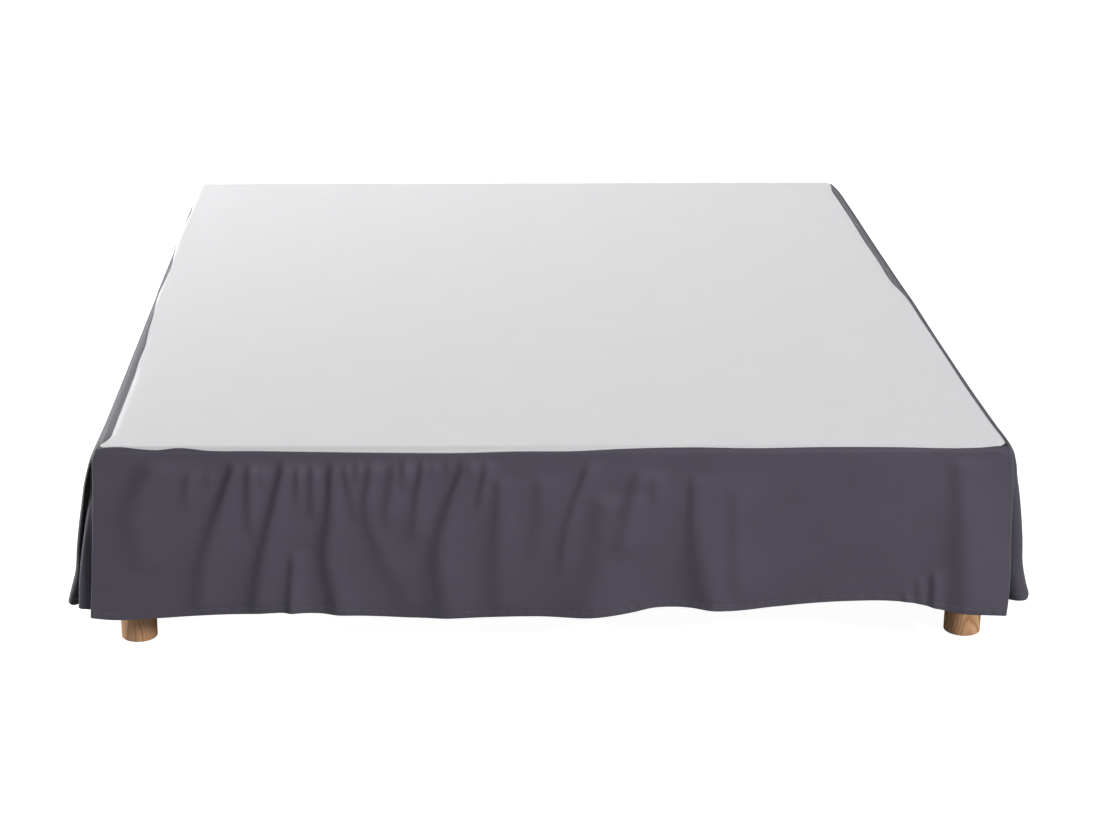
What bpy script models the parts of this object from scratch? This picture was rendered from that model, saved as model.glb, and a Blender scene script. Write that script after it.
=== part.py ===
"""A bed skirt laid over its box spring base, in metres, +Z up, +X to the right, foot end at -Y.

The platform sheet lies on the base and is seamed to three drops. Every drop starts on the rounded
top edge, hangs to its hem and carries its own uneven folds. The two foot corners are split, with a
pleat sheet behind each split. The origin is on the floor under the middle of the bed.
"""
import math
from collections import namedtuple

import bmesh
import bpy
import numpy as np
from mathutils import Matrix

# ---- driving sizes ----
BED_WIDTH = 1.600          # across the side drops, under the rounded top edge
BED_LENGTH = 2.000         # over the front drop and the head end
TOP_HEIGHT = 0.400         # top face of the platform sheet
CLOTH = 0.002              # thickness of every sheet
FIT_GAP = 0.0003           # between pieces that rest on each other
SEAM_GAP = 0.0004          # between two cloth edges that are sewn together
EDGE_RADIUS = 0.014        # outer face of the cloth where it turns down
CORNER_RADIUS = 0.024      # outer face of the cloth in plan, at the four corners
CLEARANCE = 0.0027         # cloth clear of the base

LEFT_DEPTH = 0.311         # hem of the left drop, under the top
RIGHT_DEPTH = 0.308
HEAD_FLAP = 0.030          # straight part of the platform that hangs at the head end

FOLD_FOOT = 0.310          # depth at which long folds are placed by their foot
FOLD_FADE = 0.28           # share of a fold's length over which it rises and fades
FLANK_AT_TOP = 0.7         # a fold's flanks at its top, as a share of their named widths
FLANK_GROWTH = 0.5         # and how much wider they are at its foot

FRONT_END_REACH = 0.120    # length of each end of the front drop that leaves the round corner
BULGE_FADE = 0.100         # depth at which a bulge of the edge has gone from the cloth below
FREE_START = 0.002         # depth at which the front drop starts to leave the rounded edge
FREE_RUN = 0.045           # and over how much more depth it has left it
END_FREE_RUN_LESS = 0.032  # by how much that is less at its two ends
FREE_AT_END = 0.85         # share of that by which the seam itself leaves it at the two corners

LEFT_TUCK = 0.018          # front end of the left drop, drawn back behind its pleat
RIGHT_TUCK = 0.000
TUCK_OUT = 0.22            # share of that by which it also moves out
TUCK_REACH = 0.032         # length of cloth that is drawn back
TUCK_RISE = 0.060          # depth by which it is drawn back in full
TUCK_FADE = 0.190          # depth at which it starts to come forward again
TUCK_RUN = 0.100           # and over how much more depth it has

PLEAT_START = 0.017        # top edge of a corner pleat, under the top
PLEAT_DEPTH = 0.309        # hem of a corner pleat, under the top

BASE_INSET = 2 * CLOTH + FIT_GAP + CLEARANCE
BASE_THICKNESS = 0.200
BASE_TOP = TOP_HEIGHT - CLOTH - FIT_GAP
BASE_TOP_ROUNDING = 0.012
BASE_FOOT_ROUNDING = 0.010

LEG_DIAMETER = 0.066
LEG_SIDES = 28
LEG_FOOT_ROUNDING = 0.002
LEG_HEIGHT = BASE_TOP - BASE_THICKNESS - FIT_GAP

BASE_CORNER_SEGMENTS = 6
BASE_EDGE_SEGMENTS = 3

BORDER_INSET = 0.034       # from the edge plane to the flat middle of the platform
BORDER_CORNER = 0.004      # rounding of that flat middle at its corners
BORDER_LEAD = 0.004        # least width of the border band that lies on the rounded edge
BORDER_ROWS = (0.0, 0.22, 0.44, 1.0)

TURN = EDGE_RADIUS * math.pi / 2            # cloth used up by the turn over the edge
CORNER_TURN = CORNER_RADIUS * math.pi / 4   # half of a corner, to its diagonal

# ---- shares of a drop's height at which its rows of points stand ----
FRONT_ROWS = (0.0, 0.022, 0.050, 0.110, 0.220, 0.400, 0.600, 0.800, 1.0)
SIDE_ROWS = (0.0, 0.024, 0.060, 0.150, 0.350, 0.600, 0.850, 1.0)
PLEAT_ROWS = (0.0, 0.120, 0.300, 0.500, 0.700, 0.850, 1.0)

NORMAL_STEP = 1e-5                          # step along a sheet that its slope is taken over
SHARP_ANGLE = math.radians(35)              # edges above this stay crisp
LEVEL_TOLERANCE = 1e-5                      # points this close to a level lie on it

# ---- finishes ----
Finish = namedtuple("Finish", "rgb roughness")

CHARCOAL = Finish((0.067, 0.065, 0.080), 0.85)
WHITE = Finish((0.800, 0.800, 0.800), 0.80)
LINING_GREY = Finish((0.550, 0.550, 0.550), 0.85)
OAK = Finish((0.370, 0.190, 0.095), 0.50)

# ---- tables ----
# Seam: how far the seam lies past the start of the rounded edge, measured along the cloth, and how far
# the edge itself bulges out of the straight line. `at` runs along the side of the bed.
Seam = namedtuple("Seam", "at past bulge")

FRONT_SEAM = (
    Seam(-0.790, 0.0080, 0.000),
    Seam(-0.760, 0.0055, 0.000),
    Seam(-0.720, 0.0105, 0.000),
    Seam(-0.690, 0.0125, 0.000),
    Seam(-0.655, 0.0085, 0.000),
    Seam(-0.600, 0.0140, 0.000),
    Seam(-0.520, 0.0144, 0.001),
    Seam(-0.420, 0.0162, 0.001),
    Seam(-0.280, 0.0180, 0.002),
    Seam(-0.170, 0.0188, 0.002),
    Seam(-0.060, 0.0160, 0.002),
    Seam(0.040, 0.0160, 0.001),
    Seam(0.120, 0.0120, 0.001),
    Seam(0.240, 0.0092, 0.001),
    Seam(0.350, 0.0112, 0.001),
    Seam(0.480, 0.0092, 0.001),
    Seam(0.600, 0.0103, 0.000),
    Seam(0.710, 0.0125, 0.000),
    Seam(0.750, 0.0110, 0.001),
    Seam(0.790, 0.0050, 0.004),
)
LEFT_SEAM = (
    Seam(-0.990, 0.0080, 0.000),
    Seam(-0.965, -0.0020, 0.000),
    Seam(-0.850, -0.0095, 0.000),
    Seam(-0.737, -0.0120, 0.000),
    Seam(-0.620, -0.0100, 0.000),
    Seam(-0.500, -0.0060, 0.000),
    Seam(-0.400, -0.0070, 0.000),
    Seam(-0.300, -0.0020, 0.000),
    Seam(-0.190, 0.0010, 0.000),
    Seam(-0.030, 0.0085, 0.000),
    Seam(0.090, 0.0045, 0.001),
    Seam(0.215, 0.0030, 0.001),
    Seam(0.345, 0.0120, 0.001),
    Seam(0.440, 0.0160, 0.003),
    Seam(0.530, 0.0200, 0.003),
    Seam(0.640, 0.0090, 0.002),
    Seam(0.720, 0.0085, 0.001),
    Seam(0.800, 0.0150, 0.001),
    Seam(0.900, 0.0190, 0.000),
    Seam(0.990, 0.0180, 0.000),
)
RIGHT_SEAM = (
    Seam(-0.990, 0.0050, 0.004),
    Seam(-0.950, 0.0080, 0.003),
    Seam(-0.900, 0.0080, 0.001),
    Seam(-0.740, 0.0040, 0.001),
    Seam(-0.430, 0.0030, 0.002),
    Seam(-0.250, 0.0020, 0.003),
    Seam(-0.070, 0.0000, 0.005),
    Seam(0.080, -0.0065, 0.004),
    Seam(0.200, -0.0055, 0.004),
    Seam(0.420, -0.0060, 0.004),
    Seam(0.620, -0.0050, 0.005),
    Seam(0.800, -0.0050, 0.006),
    Seam(0.930, -0.0030, 0.005),
    Seam(0.990, 0.0060, 0.000),
)

# Hem: depth of the hem under the top and how far the cloth swings out there, along the front.
Hem = namedtuple("Hem", "at depth swing")

FRONT_HEM = (
    Hem(-0.800, 0.3195, 0.004),
    Hem(-0.760, 0.3235, 0.005),
    Hem(-0.700, 0.3205, 0.004),
    Hem(-0.600, 0.3145, 0.003),
    Hem(-0.530, 0.3125, 0.003),
    Hem(-0.456, 0.3095, 0.004),
    Hem(-0.385, 0.3115, 0.005),
    Hem(-0.314, 0.3155, 0.006),
    Hem(-0.240, 0.3185, 0.008),
    Hem(-0.170, 0.3185, 0.008),
    Hem(-0.030, 0.3165, 0.008),
    Hem(0.080, 0.3175, 0.008),
    Hem(0.115, 0.3145, 0.006),
    Hem(0.150, 0.3095, 0.004),
    Hem(0.186, 0.3025, 0.002),
    Hem(0.220, 0.3015, 0.001),
    Hem(0.257, 0.3025, 0.003),
    Hem(0.293, 0.3055, 0.005),
    Hem(0.330, 0.3065, 0.004),
    Hem(0.400, 0.3005, 0.003),
    Hem(0.470, 0.2945, 0.002),
    Hem(0.540, 0.2915, 0.001),
    Hem(0.610, 0.2915, 0.001),
    Hem(0.650, 0.2955, 0.001),
    Hem(0.685, 0.3035, 0.002),
    Hem(0.720, 0.3115, 0.004),
    Hem(0.757, 0.3155, 0.005),
    Hem(0.800, 0.3195, 0.004),
)

# Fold: a ridge with one steep flank and one gentle one. `top` and `foot` are where its crest starts and
# ends along the side, `bend` bows it sideways in between, `start` and `end` are depths under the top,
# `steep` and `gentle` are the flank widths, `height` is how far it stands out. A fold that ends deeper
# than FOLD_FOOT runs on through the hem.
Fold = namedtuple("Fold", "top foot bend start end steep gentle height")

FRONT_FOLDS = (
    Fold(-0.690, -0.715, -0.012, 0.030, 0.450, 0.034, 0.060, 0.0045),
    Fold(-0.560, -0.620, 0.002, 0.030, 0.360, 0.014, 0.024, 0.0070),
    Fold(-0.524, -0.530, 0.000, 0.030, 0.150, 0.012, 0.018, 0.0030),
    Fold(-0.469, -0.519, 0.002, 0.028, 0.360, 0.014, 0.024, 0.0070),
    Fold(-0.404, -0.402, 0.000, 0.032, 0.150, 0.012, 0.016, 0.0030),
    Fold(-0.380, -0.382, -0.010, 0.028, 0.380, 0.012, 0.030, 0.0075),
    Fold(-0.456, -0.458, 0.000, 0.180, 0.360, 0.012, 0.020, 0.0035),
    Fold(-0.330, -0.240, 0.012, 0.070, 0.400, 0.016, 0.026, 0.0055),
    Fold(-0.314, -0.322, 0.000, 0.028, 0.150, 0.012, 0.018, 0.0035),
    Fold(-0.268, -0.284, 0.000, 0.050, 0.180, 0.012, 0.018, 0.0040),
    Fold(-0.224, -0.242, 0.000, 0.024, 0.200, 0.012, 0.020, 0.0055),
    Fold(-0.145, -0.182, -0.022, 0.024, 0.380, 0.014, 0.030, 0.0070),
    Fold(-0.085, -0.098, 0.000, 0.050, 0.290, 0.020, 0.034, 0.0040),
    Fold(-0.010, -0.015, 0.000, 0.050, 0.160, 0.012, 0.022, 0.0030),
    Fold(0.064, 0.026, 0.000, 0.035, 0.260, 0.012, 0.024, 0.0055),
    Fold(0.098, 0.082, 0.012, 0.110, 0.450, 0.030, 0.044, 0.0070),
    Fold(0.156, 0.127, 0.000, 0.050, 0.180, 0.014, 0.022, 0.0030),
    Fold(0.254, 0.292, -0.006, 0.050, 0.450, 0.016, 0.034, 0.0080),
    Fold(0.322, 0.324, 0.000, 0.060, 0.170, 0.014, 0.022, 0.0020),
    Fold(0.722, 0.736, 0.000, 0.020, 0.450, 0.026, 0.036, 0.0070),
    Fold(0.682, 0.684, 0.000, 0.220, 0.450, 0.012, 0.014, 0.0030),
)
LEFT_FOLDS = (
    Fold(-0.640, -0.655, 0.000, 0.060, 0.450, 0.040, 0.060, 0.012),
    Fold(-0.420, -0.405, 0.005, 0.040, 0.450, 0.035, 0.050, 0.009),
    Fold(-0.210, -0.235, 0.000, 0.050, 0.450, 0.045, 0.065, 0.014),
    Fold(0.010, 0.005, 0.006, 0.040, 0.450, 0.035, 0.055, 0.010),
    Fold(0.180, 0.205, 0.000, 0.060, 0.450, 0.040, 0.060, 0.012),
    Fold(0.420, 0.405, 0.000, 0.040, 0.450, 0.045, 0.055, 0.010),
    Fold(0.610, 0.640, -0.006, 0.050, 0.450, 0.040, 0.060, 0.013),
    Fold(0.840, 0.850, 0.000, 0.050, 0.450, 0.035, 0.050, 0.010),
)
RIGHT_FOLDS = (
    Fold(-0.600, -0.585, 0.000, 0.050, 0.450, 0.040, 0.060, 0.010),
    Fold(-0.330, -0.350, 0.000, 0.050, 0.450, 0.045, 0.055, 0.013),
    Fold(-0.080, -0.070, 0.006, 0.040, 0.450, 0.035, 0.050, 0.009),
    Fold(0.120, 0.095, 0.000, 0.050, 0.450, 0.040, 0.065, 0.013),
    Fold(0.370, 0.385, 0.000, 0.060, 0.450, 0.040, 0.055, 0.010),
    Fold(0.580, 0.560, 0.000, 0.050, 0.450, 0.045, 0.060, 0.012),
    Fold(0.820, 0.835, 0.000, 0.050, 0.450, 0.035, 0.050, 0.009),
)

# Plan of a side drop or a corner pleat at its hem. `cloth` is measured along the cloth from its front
# or inner end, `behind` from the front plane and `out` from the side plane.
Plan = namedtuple("Plan", "cloth behind out")

LEFT_DROP_PLAN = (
    Plan(0.000, 0.0450, 0.0465),
    Plan(0.009, 0.0380, 0.0515),
    Plan(0.019, 0.0345, 0.0600),
    Plan(0.030, 0.0400, 0.0680),
    Plan(0.046, 0.0545, 0.0705),
    Plan(0.062, 0.0700, 0.0700),
    Plan(0.110, 0.1175, 0.0640),
    Plan(0.200, 0.2075, 0.0500),
    Plan(0.400, 0.4070, 0.0380),
    Plan(0.900, 0.9060, 0.0420),
    Plan(1.400, 1.4040, 0.0360),
    Plan(1.800, 1.8030, 0.0300),
    Plan(1.990, 1.9940, 0.0220),
)
RIGHT_DROP_PLAN = (
    Plan(0.000, 0.0600, 0.0140),
    Plan(0.014, 0.0480, 0.0210),
    Plan(0.028, 0.0385, 0.0310),
    Plan(0.043, 0.0350, 0.0450),
    Plan(0.058, 0.0405, 0.0600),
    Plan(0.076, 0.0560, 0.0690),
    Plan(0.100, 0.0800, 0.0715),
    Plan(0.160, 0.1395, 0.0650),
    Plan(0.300, 0.2780, 0.0490),
    Plan(0.600, 0.5780, 0.0400),
    Plan(1.100, 1.0800, 0.0360),
    Plan(1.600, 1.5850, 0.0400),
    Plan(1.990, 1.9940, 0.0220),
)
LEFT_PLEAT_PLAN = (
    Plan(0.000, 0.0025, -0.1100),
    Plan(0.080, 0.0025, -0.0300),
    Plan(0.098, 0.0045, -0.0120),
    Plan(0.117, 0.0085, 0.0065),
    Plan(0.138, 0.0105, 0.0270),
    Plan(0.150, 0.0125, 0.0385),
    Plan(0.159, 0.0180, 0.0435),
    Plan(0.166, 0.0240, 0.0400),
    Plan(0.178, 0.0330, 0.0335),
    Plan(0.207, 0.0600, 0.0235),
    Plan(0.255, 0.1070, 0.0130),
    Plan(0.310, 0.1620, 0.0100),
)
RIGHT_PLEAT_PLAN = (
    Plan(0.000, 0.0025, -0.1100),
    Plan(0.080, 0.0025, -0.0300),
    Plan(0.098, 0.0055, -0.0125),
    Plan(0.116, 0.0180, -0.0010),
    Plan(0.133, 0.0350, 0.0010),
    Plan(0.160, 0.0620, 0.0015),
    Plan(0.300, 0.2020, 0.0020),
)

# Flare: how much of its swing at the hem a side drop or pleat has reached on its way down.
Flare = namedtuple("Flare", "depth share")

LEFT_FLARE = (
    Flare(0.010, 0.000),
    Flare(0.030, 0.160),
    Flare(0.055, 0.272),
    Flare(0.080, 0.365),
    Flare(0.120, 0.462),
    Flare(0.160, 0.558),
    Flare(0.200, 0.636),
    Flare(0.250, 0.715),
    Flare(0.285, 0.850),
    Flare(0.310, 0.940),
    Flare(0.330, 0.980),
)
RIGHT_FLARE = (
    Flare(0.006, 0.000),
    Flare(0.016, 0.150),
    Flare(0.030, 0.300),
    Flare(0.055, 0.425),
    Flare(0.080, 0.480),
    Flare(0.120, 0.585),
    Flare(0.160, 0.665),
    Flare(0.200, 0.730),
    Flare(0.250, 0.790),
    Flare(0.285, 0.900),
    Flare(0.310, 1.000),
    Flare(0.330, 1.030),
)
# PleatFlare: the same for a corner pleat, with its own share of the way forward.
PleatFlare = namedtuple("PleatFlare", "depth share forward")

LEFT_PLEAT_FLARE = (
    PleatFlare(0.017, 0.000, 0.000),
    PleatFlare(0.030, 0.110, 0.150),
    PleatFlare(0.050, 0.230, 0.400),
    PleatFlare(0.077, 0.310, 0.560),
    PleatFlare(0.100, 0.385, 0.660),
    PleatFlare(0.150, 0.580, 0.830),
    PleatFlare(0.200, 0.755, 0.940),
    PleatFlare(0.250, 0.900, 0.990),
    PleatFlare(0.310, 1.000, 1.000),
)
RIGHT_PLEAT_FLARE = (
    PleatFlare(0.017, 0.000, 0.000),
    PleatFlare(0.050, 0.090, 0.090),
    PleatFlare(0.100, 0.350, 0.350),
    PleatFlare(0.150, 0.530, 0.530),
    PleatFlare(0.200, 0.690, 0.690),
    PleatFlare(0.250, 0.850, 0.850),
    PleatFlare(0.310, 1.000, 1.000),
)

# How far the front drop's two ends reach from the middle at each depth.
End = namedtuple("End", "depth left right")

FRONT_ENDS = (
    End(0.000, 0.7957, 0.7998),
    End(0.012, 0.7992, 0.8024),
    End(0.022, 0.8018, 0.8038),
    End(0.040, 0.8029, 0.8052),
    End(0.077, 0.8036, 0.8087),
    End(0.113, 0.8055, 0.8098),
    End(0.150, 0.8076, 0.8107),
    End(0.205, 0.8107, 0.8135),
    End(0.260, 0.8138, 0.8153),
    End(0.300, 0.8174, 0.8145),
    End(0.330, 0.8190, 0.8130),
)

# Where the columns of the cloth grids stand: runs along a side, each cut into equal steps. The steps of
# a seam are cut once more into `fine` columns of the drop.
Run = namedtuple("Run", "start stop steps fine")

HALF_FRONT = BED_WIDTH / 2 - CORNER_RADIUS
HALF_SIDE = BED_LENGTH / 2 - CORNER_RADIUS

FRONT_RUNS = (
    Run(-HALF_FRONT, -0.640, 3, 2),
    Run(-0.640, 0.340, 24, 3),
    Run(0.340, 0.640, 5, 1),
    Run(0.640, HALF_FRONT, 3, 3),
)
SIDE_RUNS = (
    Run(-HALF_SIDE, -0.850, 3, 3),
    Run(-0.850, HALF_SIDE, 30, 2),
)
HEAD_RUNS = (
    Run(-HALF_FRONT, HALF_FRONT, 12, 1),
)
PLEAT_RUNS = (
    Run(0.000, 0.080, 2, 1),
    Run(0.080, 0.200, 14, 1),
    Run(0.200, 0.300, 3, 1),
)
CORNER_STEPS = 3

# A leg's centre on the plan.
Leg = namedtuple("Leg", "name x y")

LEGS = (
    Leg("leg_front_left", -0.747, -0.900),
    Leg("leg_front_right", 0.765, -0.882),
    Leg("leg_rear_left", -0.747, 0.885),
    Leg("leg_rear_right", 0.765, 0.885),
)

# A side of the bed: the way along it and out of it, half its length and how far out it lies.
Side = namedtuple("Side", "along out half reach")

FRONT = Side((1, 0), (0, -1), BED_WIDTH / 2, BED_LENGTH / 2)
HEAD = Side((1, 0), (0, 1), BED_WIDTH / 2, BED_LENGTH / 2)
LEFT = Side((0, 1), (-1, 0), BED_LENGTH / 2, BED_WIDTH / 2)
RIGHT = Side((0, 1), (1, 0), BED_LENGTH / 2, BED_WIDTH / 2)


# ---- curves ----
def curve(rows, column, x):
    """Smooth curve through one column of a table, against the table's first column."""
    xs = np.array([row[0] for row in rows])
    ys = np.array([getattr(row, column) for row in rows])
    slopes = np.gradient(ys, xs)
    x = np.clip(x, xs[0], xs[-1])
    i = np.clip(np.searchsorted(xs, x) - 1, 0, len(xs) - 2)
    span = xs[i + 1] - xs[i]
    t = (x - xs[i]) / span
    rise = ys[i] * (1 + 2 * t) * (1 - t) ** 2 + ys[i + 1] * t * t * (3 - 2 * t)
    lean = slopes[i] * t * (1 - t) ** 2 - slopes[i + 1] * t * t * (1 - t)
    return rise + span * lean


def ease(t):
    """Soft step from 0 to 1."""
    t = np.clip(t, 0.0, 1.0)
    return t * t * (3 - 2 * t)


def run_points(runs, fine):
    """Places where the columns of a grid stand."""
    points = []
    for run in runs:
        count = run.steps * (run.fine if fine else 1)
        points.extend(np.linspace(run.start, run.stop, count + 1)[:-1])
    return np.array(points + [runs[-1].stop])


def side_points(runs, fine):
    """The columns along a side of the bed, with half a corner at each end."""
    points = run_points(runs, fine)
    corner = np.linspace(0.0, CORNER_TURN, CORNER_STEPS + 1)[1:]
    return np.concatenate([points[0] - corner[::-1], points, points[-1] + corner])


# ---- the rounded edge of the bed ----
def edge_plan(side, p):
    """Place along the side, inset from its plane, and turn of the outline, at cloth distance p."""
    straight = side.half - CORNER_RADIUS
    turn = np.clip(np.abs(p) - straight, 0.0, None) / CORNER_RADIUS
    along = np.sign(p) * (np.minimum(np.abs(p), straight) + CORNER_RADIUS * np.sin(turn))
    inset = CORNER_RADIUS * (1 - np.cos(turn))
    return along, inset, np.sign(p) * turn


def over_edge(past):
    """Inset and depth of cloth that has run `past` the start of the rounded edge."""
    angle = np.clip(past / EDGE_RADIUS, 0.0, math.pi / 2)
    inset = EDGE_RADIUS * (1 - np.sin(angle)) + np.clip(-past, 0.0, None)
    depth = EDGE_RADIUS * (1 - np.cos(angle)) + np.clip(past - TURN, 0.0, None)
    return inset, depth


def edge_surface(side, p, past, bulge):
    """Along, out and depth of the cloth on the rounded edge and straight under it."""
    along, inset, turn = edge_plan(side, p)
    back, depth = over_edge(past)
    back = back - bulge
    return along - back * np.sin(turn), -inset - back * np.cos(turn), depth


def seam_past(table, knots, p):
    """Where the seam lies: straight from one knot of the platform's edge to the next."""
    return np.interp(p, knots, curve(table, "past", knots))


def bulge_at(table, knots, p):
    return np.interp(p, knots, curve(table, "bulge", knots))


# ---- folds ----
def fold_relief(folds, p, depth):
    """How far all the folds of a drop stand out at each point."""
    relief = np.zeros_like(p)
    for fold in folds:
        length = fold.end - fold.start
        t = (depth - fold.start) / (min(fold.end, FOLD_FOOT) - fold.start)
        crest = fold.top + (fold.foot - fold.top) * t + 4 * fold.bend * t * (1 - t)
        off = p - crest
        flank = np.where(off < 0, fold.steep, fold.gentle) * (
            FLANK_AT_TOP + FLANK_GROWTH * np.clip(t, 0.0, 1.0))
        rise = ease((depth - fold.start) / (FOLD_FADE * length))
        fall = ease((fold.end - depth) / (FOLD_FADE * length))
        relief += fold.height * rise * fall * np.exp(-((off / flank) ** 2))
    return relief


# ---- surfaces of the sheets, as (along, out, depth) on their side ----
def front_surface(knots):
    """The front drop hangs straight, and its ends leave the round corners for a flat edge."""
    end = HALF_FRONT + CORNER_TURN

    def surface(p, way):
        start = seam_past(FRONT_SEAM, knots, p) + SEAM_GAP / 2
        stop = TURN + curve(FRONT_HEM, "depth", p) - EDGE_RADIUS
        past = start + (stop - start) * way
        bulge = bulge_at(FRONT_SEAM, knots, p)
        along, out, depth = edge_surface(FRONT, p, past, bulge)
        half = np.where(p < 0, curve(FRONT_ENDS, "left", depth), curve(FRONT_ENDS, "right", depth))
        reach = ease((np.abs(p) - end + FRONT_END_REACH) / FRONT_END_REACH)
        flat_along = p + np.sign(p) * (half - end) * reach
        flat_out = curve(FRONT_HEM, "swing", p) * ease(depth / curve(FRONT_HEM, "depth", p))
        flat_out = flat_out + bulge * (1 - ease(depth / BULGE_FADE))
        flat_out = flat_out + fold_relief(FRONT_FOLDS, p, depth)
        free = ease((depth - FREE_START) / (FREE_RUN - END_FREE_RUN_LESS * reach))
        free = np.maximum(free, FREE_AT_END * ease(1 - (end - np.abs(p)) / CORNER_TURN))
        return along + (flat_along - along) * free, out + (flat_out - out) * free, depth

    return surface


def tuck_at(tuck, cloth, depth):
    """How far the front end of a side drop is drawn back behind its corner pleat."""
    near = np.clip(1 - cloth / TUCK_REACH, 0.0, 1.0) ** 2
    return tuck * near * ease(depth / TUCK_RISE) * (1 - ease((depth - TUCK_FADE) / TUCK_RUN))


def side_surface(side, seam, plan, flare, folds, knots, hem_depth, tuck):
    """A side drop flares to the plan of its hem. The curl of its front end sets in lower down."""
    front_end = -(HALF_SIDE + CORNER_TURN)

    def surface(p, way):
        start = seam_past(seam, knots, p) + SEAM_GAP / 2
        stop = TURN + hem_depth - EDGE_RADIUS
        past = start + (stop - start) * way
        along, out, depth = edge_surface(side, p, past, bulge_at(seam, knots, p))
        cloth = p - front_end
        foot_along = curve(plan, "behind", cloth) - BED_LENGTH / 2
        foot_out = curve(plan, "out", cloth)
        share = curve(flare, "share", depth)
        curl = share ** 2
        relief = fold_relief(folds, p, depth)
        drawn = tuck_at(tuck, cloth, depth)
        along = along + (foot_along - along) * curl + drawn
        out = out + (foot_out - out) * share + TUCK_OUT * drawn
        return along, out + relief, depth

    return surface


def pleat_surface(plan, flare):
    """A corner pleat follows the inner face of the drops at its top and swings out at its hem.

    Here `along` is the distance behind the front plane and `out` the distance past the side plane.
    """
    inset = CLOTH + 2 * FIT_GAP
    radius = CORNER_RADIUS - inset
    length = plan[-1].cloth
    arc = radius * math.pi / 2
    front_run = -plan[0].out - CORNER_RADIUS

    def surface(cloth, way):
        depth = PLEAT_START + (PLEAT_DEPTH - PLEAT_START) * way
        turn = np.clip(cloth - front_run, 0.0, arc) / radius
        top_out = -CORNER_RADIUS + radius * np.sin(turn) - np.clip(front_run - cloth, 0.0, None)
        top_behind = CORNER_RADIUS - radius * np.cos(turn) + np.clip(cloth - front_run - arc, 0.0, length)
        share = curve(flare, "share", depth)
        behind = top_behind + (curve(plan, "behind", cloth) - top_behind) * curve(flare, "forward", depth)
        out = top_out + (curve(plan, "out", cloth) - top_out) * share
        return behind, out, depth

    return surface


def in_world(side, along, out, depth):
    """Turn along, out and depth on a side into world coordinates."""
    reach = side.reach + out
    x = side.along[0] * along + side.out[0] * reach
    y = side.along[1] * along + side.out[1] * reach
    return np.stack([x, y, TOP_HEIGHT - depth], axis=-1)


# ---- meshes ----
def normal_at(place, p, way):
    """Unit normal of a sheet, from how it runs along and down."""
    run_along = place(p + NORMAL_STEP, way) - place(p - NORMAL_STEP, way)
    run_down = place(p, way + NORMAL_STEP) - place(p, way - NORMAL_STEP)
    normal = np.cross(run_along, run_down)
    return normal / np.linalg.norm(normal, axis=-1, keepdims=True)


def sheet_object(name, place, columns, rows, turned, colour):
    """Closed solid of one sheet: an outer grid, an inner grid and the four edges between them."""
    p, way = np.meshgrid(columns, rows, indexing="ij")
    outer = place(p, way)
    inner = outer + CLOTH * normal_at(place, p, way) * (1 if turned else -1)
    wide, tall = p.shape
    points = np.concatenate([outer.reshape(-1, 3), inner.reshape(-1, 3)])
    back = wide * tall

    def at(i, j):
        return i * tall + j

    faces = []
    for i in range(wide - 1):
        for j in range(tall - 1):
            quad = (at(i, j), at(i + 1, j), at(i + 1, j + 1), at(i, j + 1))
            faces.append(quad)
            faces.append(tuple(back + k for k in reversed(quad)))
    border = [at(i, 0) for i in range(wide)]
    border += [at(wide - 1, j) for j in range(1, tall)]
    border += [at(i, tall - 1) for i in range(wide - 2, -1, -1)]
    border += [at(0, j) for j in range(tall - 2, 0, -1)]
    for a, b in zip(border, border[1:] + border[:1]):
        faces.append((b, a, back + a, back + b))
    if turned:
        faces = [tuple(reversed(face)) for face in faces]
    return mesh_object(name, points, faces, colour)


def mesh_object(name, points, faces, colour):
    mesh = bpy.data.meshes.new(name)
    mesh.from_pydata([tuple(point) for point in points], [], faces)
    mesh.shade_smooth()
    mesh.set_sharp_from_angle(angle=SHARP_ANGLE)
    return finish(name, mesh, colour)


def finish(name, mesh, colour):
    """Put a mesh in the scene as a named object with its own material."""
    material = bpy.data.materials.new(name + "_material")
    material.use_nodes = True
    shader = material.node_tree.nodes["Principled BSDF"]
    shader.inputs["Base Color"].default_value = (*colour.rgb, 1.0)
    shader.inputs["Roughness"].default_value = colour.roughness
    shader.inputs["Metallic"].default_value = 0.0
    mesh.materials.append(material)
    result = bpy.data.objects.new(name, mesh)
    bpy.context.scene.collection.objects.link(result)
    return result


# ---- pieces ----
def make_front_drop(knots):
    surface = front_surface(knots)
    columns = side_points(FRONT_RUNS, fine=True)
    columns[0] += SEAM_GAP / 2
    columns[-1] -= SEAM_GAP / 2
    return sheet_object("front_drop", lambda p, way: in_world(FRONT, *surface(p, way)),
                        columns, FRONT_ROWS, True, CHARCOAL)


def make_side_drop(name, side, surface):
    columns = side_points(SIDE_RUNS, fine=True)
    columns[0] += SEAM_GAP / 2
    columns[-1] -= SEAM_GAP / 2
    return sheet_object(name, lambda p, way: in_world(side, *surface(p, way)),
                        columns, SIDE_ROWS, side is RIGHT, CHARCOAL)


def make_corner_pleat(name, plan, flare, hand):
    """`hand` is -1 at the left corner and 1 at the right one."""
    surface = pleat_surface(plan, flare)

    def place(cloth, way):
        behind, out, depth = surface(cloth, way)
        x = hand * (BED_WIDTH / 2 + out)
        y = behind - BED_LENGTH / 2
        return np.stack([x, y, TOP_HEIGHT - depth], axis=-1)

    return sheet_object(name, place, run_points(PLEAT_RUNS, fine=False), PLEAT_ROWS, hand > 0,
                        CHARCOAL)


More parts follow.
